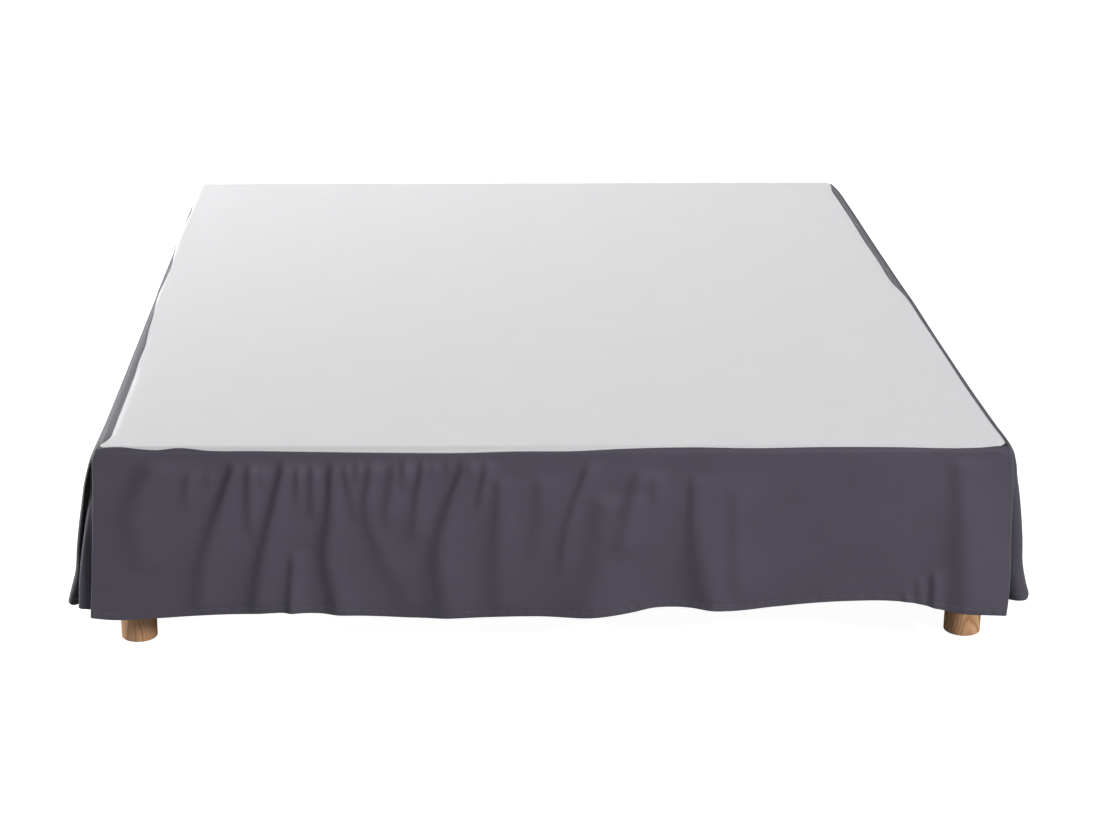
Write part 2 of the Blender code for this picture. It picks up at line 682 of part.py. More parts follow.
def platform_columns(knots):
    """Every column of the platform's border, once round the bed: side, place, seam, bulge."""
    tables = {FRONT: FRONT_SEAM, LEFT: LEFT_SEAM, RIGHT: RIGHT_SEAM}
    order = ((FRONT, 1), (RIGHT, 1), (HEAD, -1), (LEFT, -1))
    columns = []
    for side, way in order:
        for p in knots[side][::way][:-1]:
            if side is HEAD:
                near = ease((HALF_FRONT + CORNER_TURN - abs(p)) / CORNER_TURN)
                corner_past = (LEFT_SEAM if p < 0 else RIGHT_SEAM)[-1].past
                columns.append((side, p, corner_past + (TURN + HEAD_FLAP - corner_past) * near, 0.0))
            else:
                past = curve(tables[side], "past", p) - SEAM_GAP / 2
                columns.append((side, p, float(past), float(curve(tables[side], "bulge", p))))
    return columns


def make_platform(knots):
    """A flat sheet whose border turns over the edge as far as the seam, or as far as the head flap."""
    outer, inner = [], []
    for side, p, past, bulge in platform_columns(knots):
        along, _, turn = edge_plan(side, p)
        straight = side.half - CORNER_RADIUS
        flat = side.half - BORDER_INSET - BORDER_CORNER
        middle = np.clip(p, -straight, straight) * flat / straight + BORDER_CORNER * np.sin(turn)
        middle_out = -BORDER_INSET - BORDER_CORNER * (1 - np.cos(turn))
        first = min(0.0, past - BORDER_LEAD)
        column = [in_world(side, middle, middle_out, 0.0)]
        under = [column[0] - (0.0, 0.0, CLOTH)]
        for share in BORDER_ROWS:
            run = first + (past - first) * share
            point = in_world(side, *edge_surface(side, np.float64(p), run, bulge))
            angle = np.clip(run / EDGE_RADIUS, 0.0, math.pi / 2)
            side_way = math.sin(turn) * np.array(side.along) + math.cos(turn) * np.array(side.out)
            normal = np.array([*(side_way * math.sin(angle)), math.cos(angle)])
            column.append(point)
            under.append(point - CLOTH * normal)
        outer.append(column)
        inner.append(under)
    count, rows = len(outer), len(outer[0])
    points = np.array(outer + inner).reshape(-1, 3)
    back = count * rows
    faces = []
    for i in range(count):
        n = (i + 1) % count
        for j in range(rows - 1):
            quad = (i * rows + j, i * rows + j + 1, n * rows + j + 1, n * rows + j)
            faces.append(quad)
            faces.append(tuple(back + k for k in reversed(quad)))
        edge = (i * rows + rows - 1, n * rows + rows - 1)
        faces.append((edge[0], back + edge[0], back + edge[1], edge[1]))
    faces.append(tuple(i * rows for i in range(count)))
    faces.append(tuple(back + i * rows for i in reversed(range(count))))
    return mesh_object("platform", points, faces, WHITE)


def make_box_spring():
    """A plain upholstered block with rounded corners and edges."""
    shape = bmesh.new()
    bmesh.ops.create_cube(shape, size=1.0)
    size = (BED_WIDTH - 2 * BASE_INSET, BED_LENGTH - 2 * BASE_INSET, BASE_THICKNESS)
    bmesh.ops.scale(shape, vec=size, verts=shape.verts)
    upright = [edge for edge in shape.edges
               if abs(edge.verts[0].co.z - edge.verts[1].co.z) > BASE_THICKNESS / 2]
    bmesh.ops.bevel(shape, geom=upright, offset=CORNER_RADIUS - BASE_INSET,
                    segments=BASE_CORNER_SEGMENTS,
                    affect="EDGES", profile=0.5)
    for level, rounding in ((1, BASE_TOP_ROUNDING), (-1, BASE_FOOT_ROUNDING)):
        rim = [edge for edge in shape.edges
               if all(vert.co.z * level > BASE_THICKNESS / 2 - LEVEL_TOLERANCE for vert in edge.verts)]
        bmesh.ops.bevel(shape, geom=rim, offset=rounding, segments=BASE_EDGE_SEGMENTS, affect="EDGES",
                        profile=0.5)
    bmesh.ops.translate(shape, vec=(0.0, 0.0, BASE_TOP - BASE_THICKNESS / 2), verts=shape.verts)
    mesh = bpy.data.meshes.new("box_spring")
    shape.to_mesh(mesh)
    shape.free()
    mesh.shade_smooth()
    mesh.set_sharp_from_angle(angle=SHARP_ANGLE)
    return finish("box_spring", mesh, LINING_GREY)


def make_leg(leg):
    """A round wooden leg with a slightly eased foot, its top just under the base."""
    shape = bmesh.new()
    bmesh.ops.create_cone(shape, cap_ends=True, segments=LEG_SIDES, radius1=LEG_DIAMETER / 2,
                          radius2=LEG_DIAMETER / 2, depth=LEG_HEIGHT,
                          matrix=Matrix.Translation((0.0, 0.0, LEG_HEIGHT / 2)))
    foot = [edge for edge in shape.edges if all(vert.co.z < LEVEL_TOLERANCE for vert in edge.verts)]
    bmesh.ops.bevel(shape, geom=foot, offset=LEG_FOOT_ROUNDING, segments=1, affect="EDGES")
    mesh = bpy.data.meshes.new(leg.name)
    shape.to_mesh(mesh)
    shape.free()
    mesh.shade_smooth()
    mesh.set_sharp_from_angle(angle=SHARP_ANGLE)
    result = finish(leg.name, mesh, OAK)
    result.location = (leg.x, leg.y, 0.0)
    return result


def main():
    for old in list(bpy.data.objects):
        bpy.data.objects.remove(old, do_unlink=True)
    knots = {
        FRONT: side_points(FRONT_RUNS, fine=False),
        LEFT: side_points(SIDE_RUNS, fine=False),
        RIGHT: side_points(SIDE_RUNS, fine=False),
        HEAD: side_points(HEAD_RUNS, fine=False),
    }
    make_platform(knots)
    make_front_drop(knots[FRONT])
    make_side_drop("left_drop", LEFT, side_surface(
        LEFT, LEFT_SEAM, LEFT_DROP_PLAN, LEFT_FLARE,
        LEFT_FOLDS, knots[LEFT], LEFT_DEPTH, LEFT_TUCK))
    make_side_drop("right_drop", RIGHT, side_surface(
        RIGHT, RIGHT_SEAM, RIGHT_DROP_PLAN, RIGHT_FLARE,
        RIGHT_FOLDS, knots[RIGHT], RIGHT_DEPTH, RIGHT_TUCK))
    make_corner_pleat("left_corner_pleat", LEFT_PLEAT_PLAN, LEFT_PLEAT_FLARE, -1)
    make_corner_pleat("right_corner_pleat", RIGHT_PLEAT_PLAN, RIGHT_PLEAT_FLARE, 1)
    make_box_spring()
    for leg in LEGS:
        make_leg(leg)


main()
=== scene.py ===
"""Looks of a bed skirt laid over its box spring base, in metres, +Z up, +X right, foot end at -Y.

Each sheet of cloth is one grid of points. The grid starts at a seam on the rounded edge of the base,
turns down over it and runs to the hem, and the creases of the tables below are laid on it one by one.
The sheets get their hems, stitches and weave here. The base and its legs are plain upholstery and oak.
"""

import math
from collections import namedtuple

import bmesh
import bpy
import numpy as np
from mathutils import Matrix, Vector


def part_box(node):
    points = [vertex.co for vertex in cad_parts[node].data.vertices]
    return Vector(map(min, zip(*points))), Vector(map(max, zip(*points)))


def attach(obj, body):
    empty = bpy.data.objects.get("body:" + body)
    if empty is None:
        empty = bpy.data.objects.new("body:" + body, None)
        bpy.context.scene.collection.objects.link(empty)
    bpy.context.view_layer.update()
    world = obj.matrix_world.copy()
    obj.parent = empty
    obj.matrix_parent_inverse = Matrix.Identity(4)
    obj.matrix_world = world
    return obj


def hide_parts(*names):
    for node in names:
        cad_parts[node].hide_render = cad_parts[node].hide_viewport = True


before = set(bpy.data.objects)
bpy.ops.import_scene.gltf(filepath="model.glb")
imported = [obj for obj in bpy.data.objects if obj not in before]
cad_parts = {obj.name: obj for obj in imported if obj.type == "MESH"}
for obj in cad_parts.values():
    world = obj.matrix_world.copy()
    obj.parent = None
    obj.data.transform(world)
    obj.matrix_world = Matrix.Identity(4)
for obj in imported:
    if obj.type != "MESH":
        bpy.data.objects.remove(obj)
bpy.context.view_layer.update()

# ---- sizes taken from the frame ----
BASE_LOW, BASE_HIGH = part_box("box_spring")
TOP_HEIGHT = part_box("platform")[1].z
BASE_INSET = 0.007           # the base stands this far inside the cloth's edge planes
HALF_WIDTH = (BASE_HIGH.x - BASE_LOW.x) / 2 + BASE_INSET
HALF_LENGTH = (BASE_HIGH.y - BASE_LOW.y) / 2 + BASE_INSET

# ---- sizes of the cloth ----
CLOTH = 0.0013               # one layer of the skirt's cloth
LINING = 0.0012              # one layer of the platform's cloth
HEM_CLOTH = 0.003            # the turned hem, three layers
HEM_WIDTH = 0.0135
HEM_STEP = 0.0008            # run over which one layer thickens into the hem
SEAM_GAP = 0.0004            # between a drop and the lining at their seam
SEAM_DIP = 0.0008            # the cloth dips by this much where it turns into its seam
SEAM_DIP_RUN = 0.0014
EDGE_RADIUS = 0.014          # cloth turning down over the edge
CORNER_RADIUS = 0.024        # the same in plan, at the corners
HEAD_FLAP = 0.03             # lining that hangs under the rounded edge at the head end
RIM_ROUND = 0.45             # how far a sheet's rim stands out, in thicknesses

# Side drops: depth of the hem, and the small lift of the hem at the curl of the front end.
LEFT_DEPTH = 0.311
RIGHT_DEPTH = 0.308
HEM_LIFT = 0.0055
HEM_LIFT_RUN = 0.016
LEFT_LIFT_AT = 0.046         # cloth distance of the lift from the front end
RIGHT_LIFT_AT = 0.08

# The front end of a side drop is drawn back behind its pleat, halfway down.
LEFT_TUCK = 0.018            # way back
RIGHT_TUCK = 0.03
TUCK_OUT = 0.22              # way out, as a share of the way back
TUCK_REACH = 0.032           # length of cloth that is drawn back
TUCK_RISE = 0.06             # depth over which it sets in
TUCK_FADE = 0.19             # depth at which it starts to ease off
TUCK_RUN = 0.1               # and over which it does

# The front drop hangs free of the rounded edge, and its ends leave the round corners.
FRONT_END_REACH = 0.12       # length of the ends that leave the corners
FREE_START = 0.002           # depth at which the cloth starts to hang free
FREE_RUN = 0.045             # and over which it comes free
END_FREE_RUN_LESS = 0.032    # how much shorter that is at the ends
FREE_AT_END = 0.85           # how free the very ends are from their seam on
BULGE_FADE = 0.1             # depth over which a bulge of the edge fades from the drop

PLEAT_START = 0.017          # depth of a corner pleat's top edge
PLEAT_DEPTH = 0.309          # and of its hem
PLEAT_INSET = 0.0023         # a pleat's top lies this far inside the edge planes
# Over this length of cloth a corner pleat gets the full painted shade.
PLEAT_SPLIT = 0.075          # cloth of a pleat that lies behind the front drop

TURN = EDGE_RADIUS * math.pi / 2
CORNER_TURN = CORNER_RADIUS * math.pi / 4
STRAIGHT_X = HALF_WIDTH - CORNER_RADIUS
STRAIGHT_Y = HALF_LENGTH - CORNER_RADIUS

# ---- sizes that the cloths were cut to ----
FRONT_CUT = (1.62, 0.33)
SIDE_CUT = (2.02, 0.325)


# ---- tables ----
def table(kind, *rows):
    """Rows of one kind, by name."""
    return tuple(kind(*row) for row in rows)


# Seam: how far the seam lies past the start of the rounded edge, and how far the edge bulges.
Seam = namedtuple("Seam", "at past bulge")

FRONT_SEAM = table(
    Seam,
    (-0.79, 0.008, 0), (-0.76, 0.0055, 0), (-0.72, 0.0105, 0), (-0.69, 0.0125, 0),
    (-0.655, 0.0085, 0), (-0.6, 0.014, 0), (-0.52, 0.0144, 0.001), (-0.42, 0.0162, 0.001),
    (-0.28, 0.018, 0.002), (-0.17, 0.0188, 0.002), (-0.06, 0.016, 0.002), (0.04, 0.016, 0.001),
    (0.12, 0.012, 0.001), (0.24, 0.0092, 0.001), (0.35, 0.0112, 0.001), (0.48, 0.0092, 0.001),
    (0.6, 0.0103, 0), (0.71, 0.0125, 0), (0.75, 0.011, 0.001), (0.79, 0.005, 0.004),
)
LEFT_SEAM = table(
    Seam,
    (-0.99, 0.008, 0), (-0.965, -0.002, 0), (-0.85, -0.0095, 0), (-0.737, -0.012, 0),
    (-0.62, -0.01, 0), (-0.5, -0.006, 0), (-0.4, -0.007, 0), (-0.3, -0.002, 0), (-0.19, 0.001, 0),
    (-0.03, 0.0085, 0), (0.09, 0.0045, 0.001), (0.215, 0.003, 0.001), (0.345, 0.012, 0.001),
    (0.44, 0.016, 0.003), (0.53, 0.02, 0.003), (0.64, 0.009, 0.002), (0.72, 0.0085, 0.001),
    (0.8, 0.015, 0.001), (0.9, 0.019, 0), (0.99, 0.018, 0),
)
RIGHT_SEAM = table(
    Seam,
    (-0.99, 0.005, 0.004), (-0.95, 0.008, 0.003), (-0.9, 0.008, 0.001), (-0.74, 0.004, 0.001),
    (-0.43, 0.003, 0.002), (-0.25, 0.002, 0.003), (-0.07, 0, 0.005), (0.08, -0.0065, 0.004),
    (0.2, -0.0055, 0.004), (0.42, -0.006, 0.004), (0.62, -0.005, 0.005), (0.8, -0.005, 0.006),
    (0.93, -0.003, 0.005), (0.99, 0.006, 0),
)

# Hem: depth of the front hem under the top and how far it swings out.
Hem = namedtuple("Hem", "at depth swing")

FRONT_HEM = table(
    Hem,
    (-0.8, 0.3195, 0.004), (-0.76, 0.3235, 0.005), (-0.7, 0.3205, 0.004), (-0.6, 0.3145, 0.003),
    (-0.53, 0.3125, 0.003), (-0.456, 0.3095, 0.004), (-0.385, 0.3115, 0.005), (-0.314, 0.3155, 0.006),
    (-0.24, 0.3185, 0.008), (-0.17, 0.3185, 0.008), (-0.03, 0.3165, 0.008), (0.08, 0.3175, 0.008),
    (0.115, 0.3145, 0.006), (0.15, 0.3095, 0.004), (0.186, 0.3025, 0.002), (0.22, 0.3015, 0.001),
    (0.257, 0.3025, 0.003), (0.293, 0.3055, 0.005), (0.33, 0.3065, 0.004), (0.4, 0.3005, 0.003),
    (0.47, 0.2945, 0.002), (0.54, 0.2915, 0.001), (0.61, 0.2915, 0.001), (0.65, 0.2955, 0.001),
    (0.685, 0.3035, 0.002), (0.72, 0.3115, 0.004), (0.757, 0.3155, 0.005), (0.8, 0.3195, 0.004),
)

# Crease: a ridge with a steep left flank and a gentle right one. `a` to `d` are the places of the steep
# flank at the four LINE_DEPTHS, `start` and `end` the depths between which it stands, `steep` and
# `gentle` the widths of its flanks, `spread` how much wider the steep one has grown at its foot, and
# `high` and `foot` how far it stands out at its start and at its end.
Crease = namedtuple("Crease", "a b c d start end steep spread gentle high foot")

LINE_DEPTHS = (0.04, 0.12, 0.2, 0.29)
CREASE_RISE = 0.03           # depth over which a crease grows out of the cloth
CREASE_FALL = 0.045          # and over which it dies out again

FRONT_CREASES = table(
    Crease,
    (-0.71, -0.74, -0.729, -0.723, 0.01, 0.25, 0.0156, 0.3, 0.05, 0.016, 0.0112),
    (-0.635, -0.648, -0.653, -0.653, 0.03, 0.125, 0.0065, 0.2, 0.018, 0.0072, 0.0066),
    (-0.602, -0.61, -0.613, -0.613, 0.028, 0.09, 0.0065, 0.2, 0.016, 0.0047, 0.0047),
    (-0.562, -0.59, -0.616, -0.63, 0.016, 0.33, 0.0075, 1.2, 0.034, 0.0148, 0.0114),
    (-0.531, -0.533, -0.529, -0.528, 0.018, 0.18, 0.0065, 0.6, 0.018, 0.0137, 0.0089),
    (-0.508, -0.511, -0.513, -0.513, 0.02, 0.09, 0.0065, 0.2, 0.014, 0.0049, 0.0049),
    (-0.474, -0.494, -0.513, -0.529, 0.012, 0.33, 0.0073, 0.9, 0.03, 0.0145, 0.0165),
    (-0.446, -0.448, -0.45, -0.45, 0.022, 0.12, 0.0052, 0.2, 0.014, 0.0091, 0.0065),
    (-0.421, -0.421, -0.421, -0.421, 0.02, 0.15, 0.0062, 0.4, 0.016, 0.0112, 0.008),
    (-0.455, -0.458, -0.458, -0.466, 0.185, 0.35, 0.0062, 0.3, 0.02, 0.0074, 0.0161),
    (-0.388, -0.393, -0.402, -0.386, 0.014, 0.35, 0.0068, 1.5, 0.036, 0.0124, 0.02),
    (-0.363, -0.349, -0.347, -0.347, 0.015, 0.15, 0.0065, 0.4, 0.018, 0.0087, 0.0053),
    (-0.342, -0.347, -0.349, -0.349, 0.012, 0.08, 0.0055, 0.2, 0.014, 0.0099, 0.0077),
    (-0.32, -0.328, -0.302, -0.258, 0.012, 0.33, 0.0073, 1.6, 0.026, 0.0115, 0.0053),
    (-0.28, -0.291, -0.295, -0.295, 0.018, 0.16, 0.0078, 0.4, 0.02, 0.0114, 0.0091),
    (-0.26, -0.27, -0.273, -0.273, 0.006, 0.085, 0.006, 0.2, 0.016, 0.011, 0.009),
    (-0.229, -0.241, -0.243, -0.243, 0.008, 0.19, 0.006, 0.8, 0.02, 0.011, 0.0082),
    (-0.209, -0.212, -0.212, -0.212, 0.008, 0.072, 0.0055, 0.2, 0.012, 0.006, 0.0045),
    (-0.184, -0.189, -0.19, -0.19, 0.004, 0.068, 0.0055, 0.2, 0.012, 0.0072, 0.0045),
    (-0.16, -0.188, -0.205, -0.195, 0.008, 0.35, 0.006, 2.6, 0.034, 0.0093, 0.0193),
    (-0.145, -0.147, -0.147, -0.147, 0.004, 0.07, 0.0055, 0.2, 0.012, 0.007, 0.005),
    (-0.224, -0.224, -0.224, -0.223, 0.235, 0.33, 0.0052, 0.2, 0.014, 0.0013, 0.0013),
    (-0.117, -0.13, -0.134, -0.134, 0.012, 0.13, 0.0055, 0.3, 0.016, 0.0082, 0.007),
    (-0.097, -0.097, -0.1, -0.098, 0.045, 0.33, 0.0078, 2.0, 0.036, 0.0071, 0.0153),
    (-0.025, -0.026, -0.033, -0.037, 0.045, 0.23, 0.0078, 0.6, 0.03, 0.0044, 0.0021),
    (0.06, 0.033, 0.018, 0.017, 0.018, 0.25, 0.006, 0.6, 0.024, 0.0068, 0.0063),
    (0.081, 0.079, 0.076, 0.062, 0.08, 0.36, 0.0156, 1.8, 0.05, 0.0103, 0.02),
    (0.152, 0.13, 0.118, 0.113, 0.035, 0.22, 0.0104, 0.6, 0.036, 0.009, 0.0099),
    (0.177, 0.18, 0.182, 0.182, 0.04, 0.13, 0.0078, 0.2, 0.02, 0.005, 0.004),
    (0.245, 0.245, 0.252, 0.271, 0.045, 0.35, 0.0068, 2.6, 0.05, 0.0052, 0.0185),
    (0.316, 0.318, 0.322, 0.325, 0.06, 0.3, 0.0091, 0.6, 0.034, 0.0033, 0.0073),
    (0.632, 0.632, 0.632, 0.631, 0.262, 0.33, 0.0047, 0.1, 0.01, 0.0056, 0.0065),
    (0.653, 0.653, 0.653, 0.654, 0.24, 0.33, 0.0052, 0.1, 0.012, 0.0047, 0.0056),
    (0.678, 0.678, 0.678, 0.679, 0.225, 0.35, 0.0055, 0.1, 0.014, 0.0091, 0.0104),
    (0.703, 0.71, 0.714, 0.718, 0.012, 0.35, 0.0104, 1.0, 0.05, 0.0058, 0.02),
)

# Fold of a side drop: a soft ridge. `top` and `foot` are the places of its crest at its two ends, `bend`
# how far the crest bows between them, and `left` and `right` the widths of its flanks.
Fold = namedtuple("Fold", "top foot bend start end left right height")

FOLD_FOOT = 0.31             # depth at which a long fold has come to its foot
FOLD_FADE = 0.28             # share of its length over which a fold rises, and dies out again
FLANK_AT_TOP = 0.7           # width of a fold's flanks at its top, as a share of the given one
FLANK_GROWTH = 0.5           # and how much the share grows on the way down

LEFT_FOLDS = table(
    Fold,
    (-0.64, -0.655, 0, 0.06, 0.45, 0.04, 0.06, 0.012),
    (-0.42, -0.405, 0.005, 0.04, 0.45, 0.035, 0.05, 0.009),
    (-0.21, -0.235, 0, 0.05, 0.45, 0.045, 0.065, 0.014),
    (0.01, 0.005, 0.006, 0.04, 0.45, 0.035, 0.055, 0.01),
    (0.18, 0.205, 0, 0.06, 0.45, 0.04, 0.06, 0.012), (0.42, 0.405, 0, 0.04, 0.45, 0.045, 0.055, 0.01),
    (0.61, 0.64, -0.006, 0.05, 0.45, 0.04, 0.06, 0.013),
    (0.84, 0.85, 0, 0.05, 0.45, 0.035, 0.05, 0.01),
    (-0.76, -0.748, 0, 0.024, 0.24, 0.014, 0.022, 0.003),
    (-0.53, -0.545, 0.004, 0.022, 0.3, 0.013, 0.024, 0.004),
    (-0.33, -0.318, 0, 0.026, 0.18, 0.012, 0.02, 0.003),
    (-0.1, -0.118, 0.003, 0.022, 0.33, 0.014, 0.022, 0.0042),
    (0.098, 0.09, 0, 0.026, 0.2, 0.012, 0.02, 0.0028),
    (0.3, 0.318, -0.004, 0.024, 0.33, 0.014, 0.024, 0.004),
    (0.52, 0.512, 0, 0.024, 0.19, 0.012, 0.02, 0.003),
    (0.735, 0.748, 0, 0.022, 0.29, 0.013, 0.022, 0.0036),
    (0.925, 0.93, 0, 0.024, 0.22, 0.012, 0.02, 0.0026),
)
RIGHT_FOLDS = table(
    Fold,
    (-0.6, -0.585, 0, 0.05, 0.45, 0.04, 0.06, 0.01),
    (-0.33, -0.35, 0, 0.05, 0.45, 0.045, 0.055, 0.013),
    (-0.08, -0.07, 0.006, 0.04, 0.45, 0.035, 0.05, 0.009),
    (0.12, 0.095, 0, 0.05, 0.45, 0.04, 0.065, 0.013), (0.37, 0.385, 0, 0.06, 0.45, 0.04, 0.055, 0.01),
    (0.58, 0.56, 0, 0.05, 0.45, 0.045, 0.06, 0.012), (0.82, 0.835, 0, 0.05, 0.45, 0.035, 0.05, 0.009),
    (-0.72, -0.732, 0, 0.024, 0.22, 0.013, 0.02, 0.0028),
    (-0.47, -0.458, -0.004, 0.022, 0.32, 0.014, 0.024, 0.004),
    (-0.205, -0.214, 0, 0.026, 0.19, 0.012, 0.02, 0.003),
    (0.02, 0.034, 0.003, 0.024, 0.3, 0.013, 0.022, 0.0038),
    (0.245, 0.238, 0, 0.024, 0.2, 0.012, 0.02, 0.0028),
    (0.475, 0.49, 0, 0.022, 0.33, 0.014, 0.022, 0.004),
    (0.7, 0.69, 0, 0.026, 0.18, 0.012, 0.02, 0.0028),
    (0.915, 0.922, 0, 0.024, 0.24, 0.012, 0.022, 0.003),
)

# Ripple: a long low wave of the hanging cloth. `along` and `down` are its lengths.
Ripple = namedtuple("Ripple", "along down phase height")

RIPPLES = table(
    Ripple,
    (0.287, 0.62, 0.4, 0.0003), (0.163, 0.41, 1.9, 0.00016), (0.081, 0.35, 3.1, 0.00006),
)
# The small draws of the cloth at its stitched hem.
PUCKERS = table(
    Ripple,
    (0.0107, 1.0, 0.3, 0.00016), (0.0163, 1.0, 2.1, 0.0002), (0.0291, 1.0, 4.4, 0.00024),
)

# Plan of a side drop or a corner pleat at its hem. `cloth` is measured along the cloth from its front
# or inner end, `behind` from the front plane and `out` from the side plane.
Plan = namedtuple("Plan", "cloth behind out")

LEFT_DROP_PLAN = table(
    Plan,
    (0, 0.045, 0.0465), (0.009, 0.038, 0.0515), (0.019, 0.0345, 0.06), (0.03, 0.04, 0.068),
    (0.046, 0.0545, 0.0705), (0.062, 0.07, 0.07), (0.11, 0.1175, 0.064), (0.2, 0.2075, 0.05),
    (0.4, 0.407, 0.038), (0.9, 0.906, 0.042), (1.4, 1.404, 0.036), (1.8, 1.803, 0.03),
    (1.99, 1.994, 0.022),
)
RIGHT_DROP_PLAN = table(
    Plan,
    (0, 0.062, 0.014), (0.014, 0.05, 0.021), (0.028, 0.0405, 0.031), (0.043, 0.036, 0.045),
    (0.058, 0.039, 0.06), (0.076, 0.054, 0.069), (0.1, 0.078, 0.0715), (0.16, 0.1375, 0.065),
    (0.3, 0.2775, 0.049), (0.6, 0.578, 0.04), (1.1, 1.08, 0.036), (1.6, 1.585, 0.04),
    (1.99, 1.994, 0.022),
)
LEFT_PLEAT_PLAN = table(
    Plan,
    (0, 0.0025, -0.11), (0.08, 0.0025, -0.03), (0.098, 0.0045, -0.012), (0.117, 0.0085, 0.0065),
    (0.138, 0.0105, 0.027), (0.15, 0.0125, 0.0385), (0.159, 0.018, 0.0435), (0.166, 0.024, 0.04),
    (0.178, 0.033, 0.0335), (0.207, 0.06, 0.0235), (0.255, 0.107, 0.013), (0.31, 0.162, 0.01),
)
RIGHT_PLEAT_PLAN = table(
    Plan,
    (0, 0.0025, -0.11), (0.08, 0.0025, -0.03), (0.098, 0.0055, -0.0125), (0.116, 0.018, -0.001),
    (0.133, 0.035, 0.001), (0.16, 0.062, 0.0015), (0.3, 0.202, 0.002),
)

# Flare: how much of its swing at the hem a side drop or pleat has reached on its way down.
Flare = namedtuple("Flare", "depth share")

LEFT_FLARE = table(
    Flare,
    (0.01, 0), (0.03, 0.16), (0.055, 0.272), (0.08, 0.365), (0.12, 0.462), (0.16, 0.558),
    (0.2, 0.636), (0.25, 0.715), (0.285, 0.85), (0.31, 0.94), (0.33, 0.98),
)
RIGHT_FLARE = table(
    Flare,
    (0.006, 0), (0.016, 0.15), (0.03, 0.3), (0.055, 0.425), (0.08, 0.48), (0.12, 0.585),
    (0.16, 0.665), (0.2, 0.73), (0.25, 0.79), (0.285, 0.9), (0.31, 1.0), (0.33, 1.03),
)
# PleatFlare: the same for a corner pleat, with its own share of the way forward.
PleatFlare = namedtuple("PleatFlare", "depth share forward")

LEFT_PLEAT_FLARE = table(
    PleatFlare,
    (0.017, 0, 0), (0.03, 0.11, 0.15), (0.05, 0.23, 0.4), (0.077, 0.31, 0.56), (0.1, 0.385, 0.66),
    (0.15, 0.58, 0.83), (0.2, 0.755, 0.94), (0.25, 0.9, 0.99), (0.31, 1.0, 1.0),
)
RIGHT_PLEAT_FLARE = table(
    PleatFlare,
    (0.017, 0, 0), (0.05, 0.09, 0.09), (0.1, 0.35, 0.35), (0.15, 0.53, 0.53), (0.2, 0.69, 0.69),
    (0.25, 0.85, 0.85), (0.31, 1.0, 1.0),
)

# End: how far the front drop's two ends reach from the middle at each depth.
End = namedtuple("End", "depth left right")

FRONT_ENDS = table(
    End,
    (0, 0.7957, 0.7998), (0.012, 0.7992, 0.8024), (0.022, 0.8018, 0.8038), (0.04, 0.8029, 0.8052),
    (0.077, 0.8036, 0.8087), (0.113, 0.8055, 0.8098), (0.15, 0.8076, 0.8107), (0.205, 0.8107, 0.8135),
    (0.26, 0.8138, 0.8153), (0.3, 0.8174, 0.8145), (0.33, 0.819, 0.813),
)

# A side of the bed: the way along it and out of it, half its length and how far out it lies.
Side = namedtuple("Side", "along out half reach")

FRONT = Side((1, 0), (0, -1), HALF_WIDTH, HALF_LENGTH)
HEAD = Side((1, 0), (0, 1), HALF_WIDTH, HALF_LENGTH)
LEFT = Side((0, 1), (-1, 0), HALF_LENGTH, HALF_WIDTH)
RIGHT = Side((0, 1), (1, 0), HALF_LENGTH, HALF_WIDTH)
SEAMS = {FRONT: FRONT_SEAM, LEFT: LEFT_SEAM, RIGHT: RIGHT_SEAM}

# ---- how fine the grids are ----
DROP_COLUMNS = 470
PLEAT_COLUMNS = 110
CORNER_COLUMNS = 10
MIDDLE_ROWS = 52
# Distances of the finer rows, under the seam and above the hem's edge.
SEAM_ROWS = (0.0, 0.001, 0.0022, 0.004, 0.0062, 0.0088, 0.0118, 0.0152, 0.019, 0.0235, 0.0285)
HEM_ROWS = (0.019, 0.0162, 0.0142, 0.0131, 0.012, 0.0109, 0.0094, 0.0074, 0.0052, 0.003, 0.0012,
            0.0)
PLATFORM_X = 128
PLATFORM_Y = 160
BORDER_ROWS = 12
BORDER_SPACING = 0.8         # under 1, the rows of the border get closer towards its rim


# ---- curves ----
def curve(rows, column, x):
    """Smooth curve through one column of a table, against the table's first column."""
    return smooth([row[0] for row in rows], [getattr(row, column) for row in rows], x)


def smooth(xs, ys, x):
    """Smooth curve through points."""
    xs = np.asarray(xs, float)
    ys = np.asarray(ys, float)
    slopes = np.gradient(ys, xs)
    x = np.clip(x, xs[0], xs[-1])
    i = np.clip(np.searchsorted(xs, x) - 1, 0, len(xs) - 2)
    span = xs[i + 1] - xs[i]
    t = (x - xs[i]) / span
    rise = ys[i] * (1 + 2 * t) * (1 - t) ** 2 + ys[i + 1] * t * t * (3 - 2 * t)
    lean = slopes[i] * t * (1 - t) ** 2 - slopes[i + 1] * t * t * (1 - t)
    return rise + span * lean


def ease(t):
    """Soft step from 0 to 1."""
    t = np.clip(t, 0.0, 1.0)
    return t * t * (3 - 2 * t)


RIPPLE_DRIFT = 0.6           # how far a wave wanders sideways on its way down
RIPPLE_UNEVEN = 0.7          # how unevenly its crests are spaced
RIPPLE_UNEVEN_RATE = 0.37    # and how often that changes, for each crest


def ripple(rows, p, depth):
    """Low waves of the cloth."""
    total = np.zeros_like(p)
    for row in rows:
        wave = 2 * math.pi * p / row.along + row.phase
        drift = math.pi * np.sin(2 * math.pi * depth / row.down + row.phase)
        total += row.height * np.sin(
            wave + RIPPLE_DRIFT * drift + RIPPLE_UNEVEN * np.sin(wave * RIPPLE_UNEVEN_RATE))
    return total


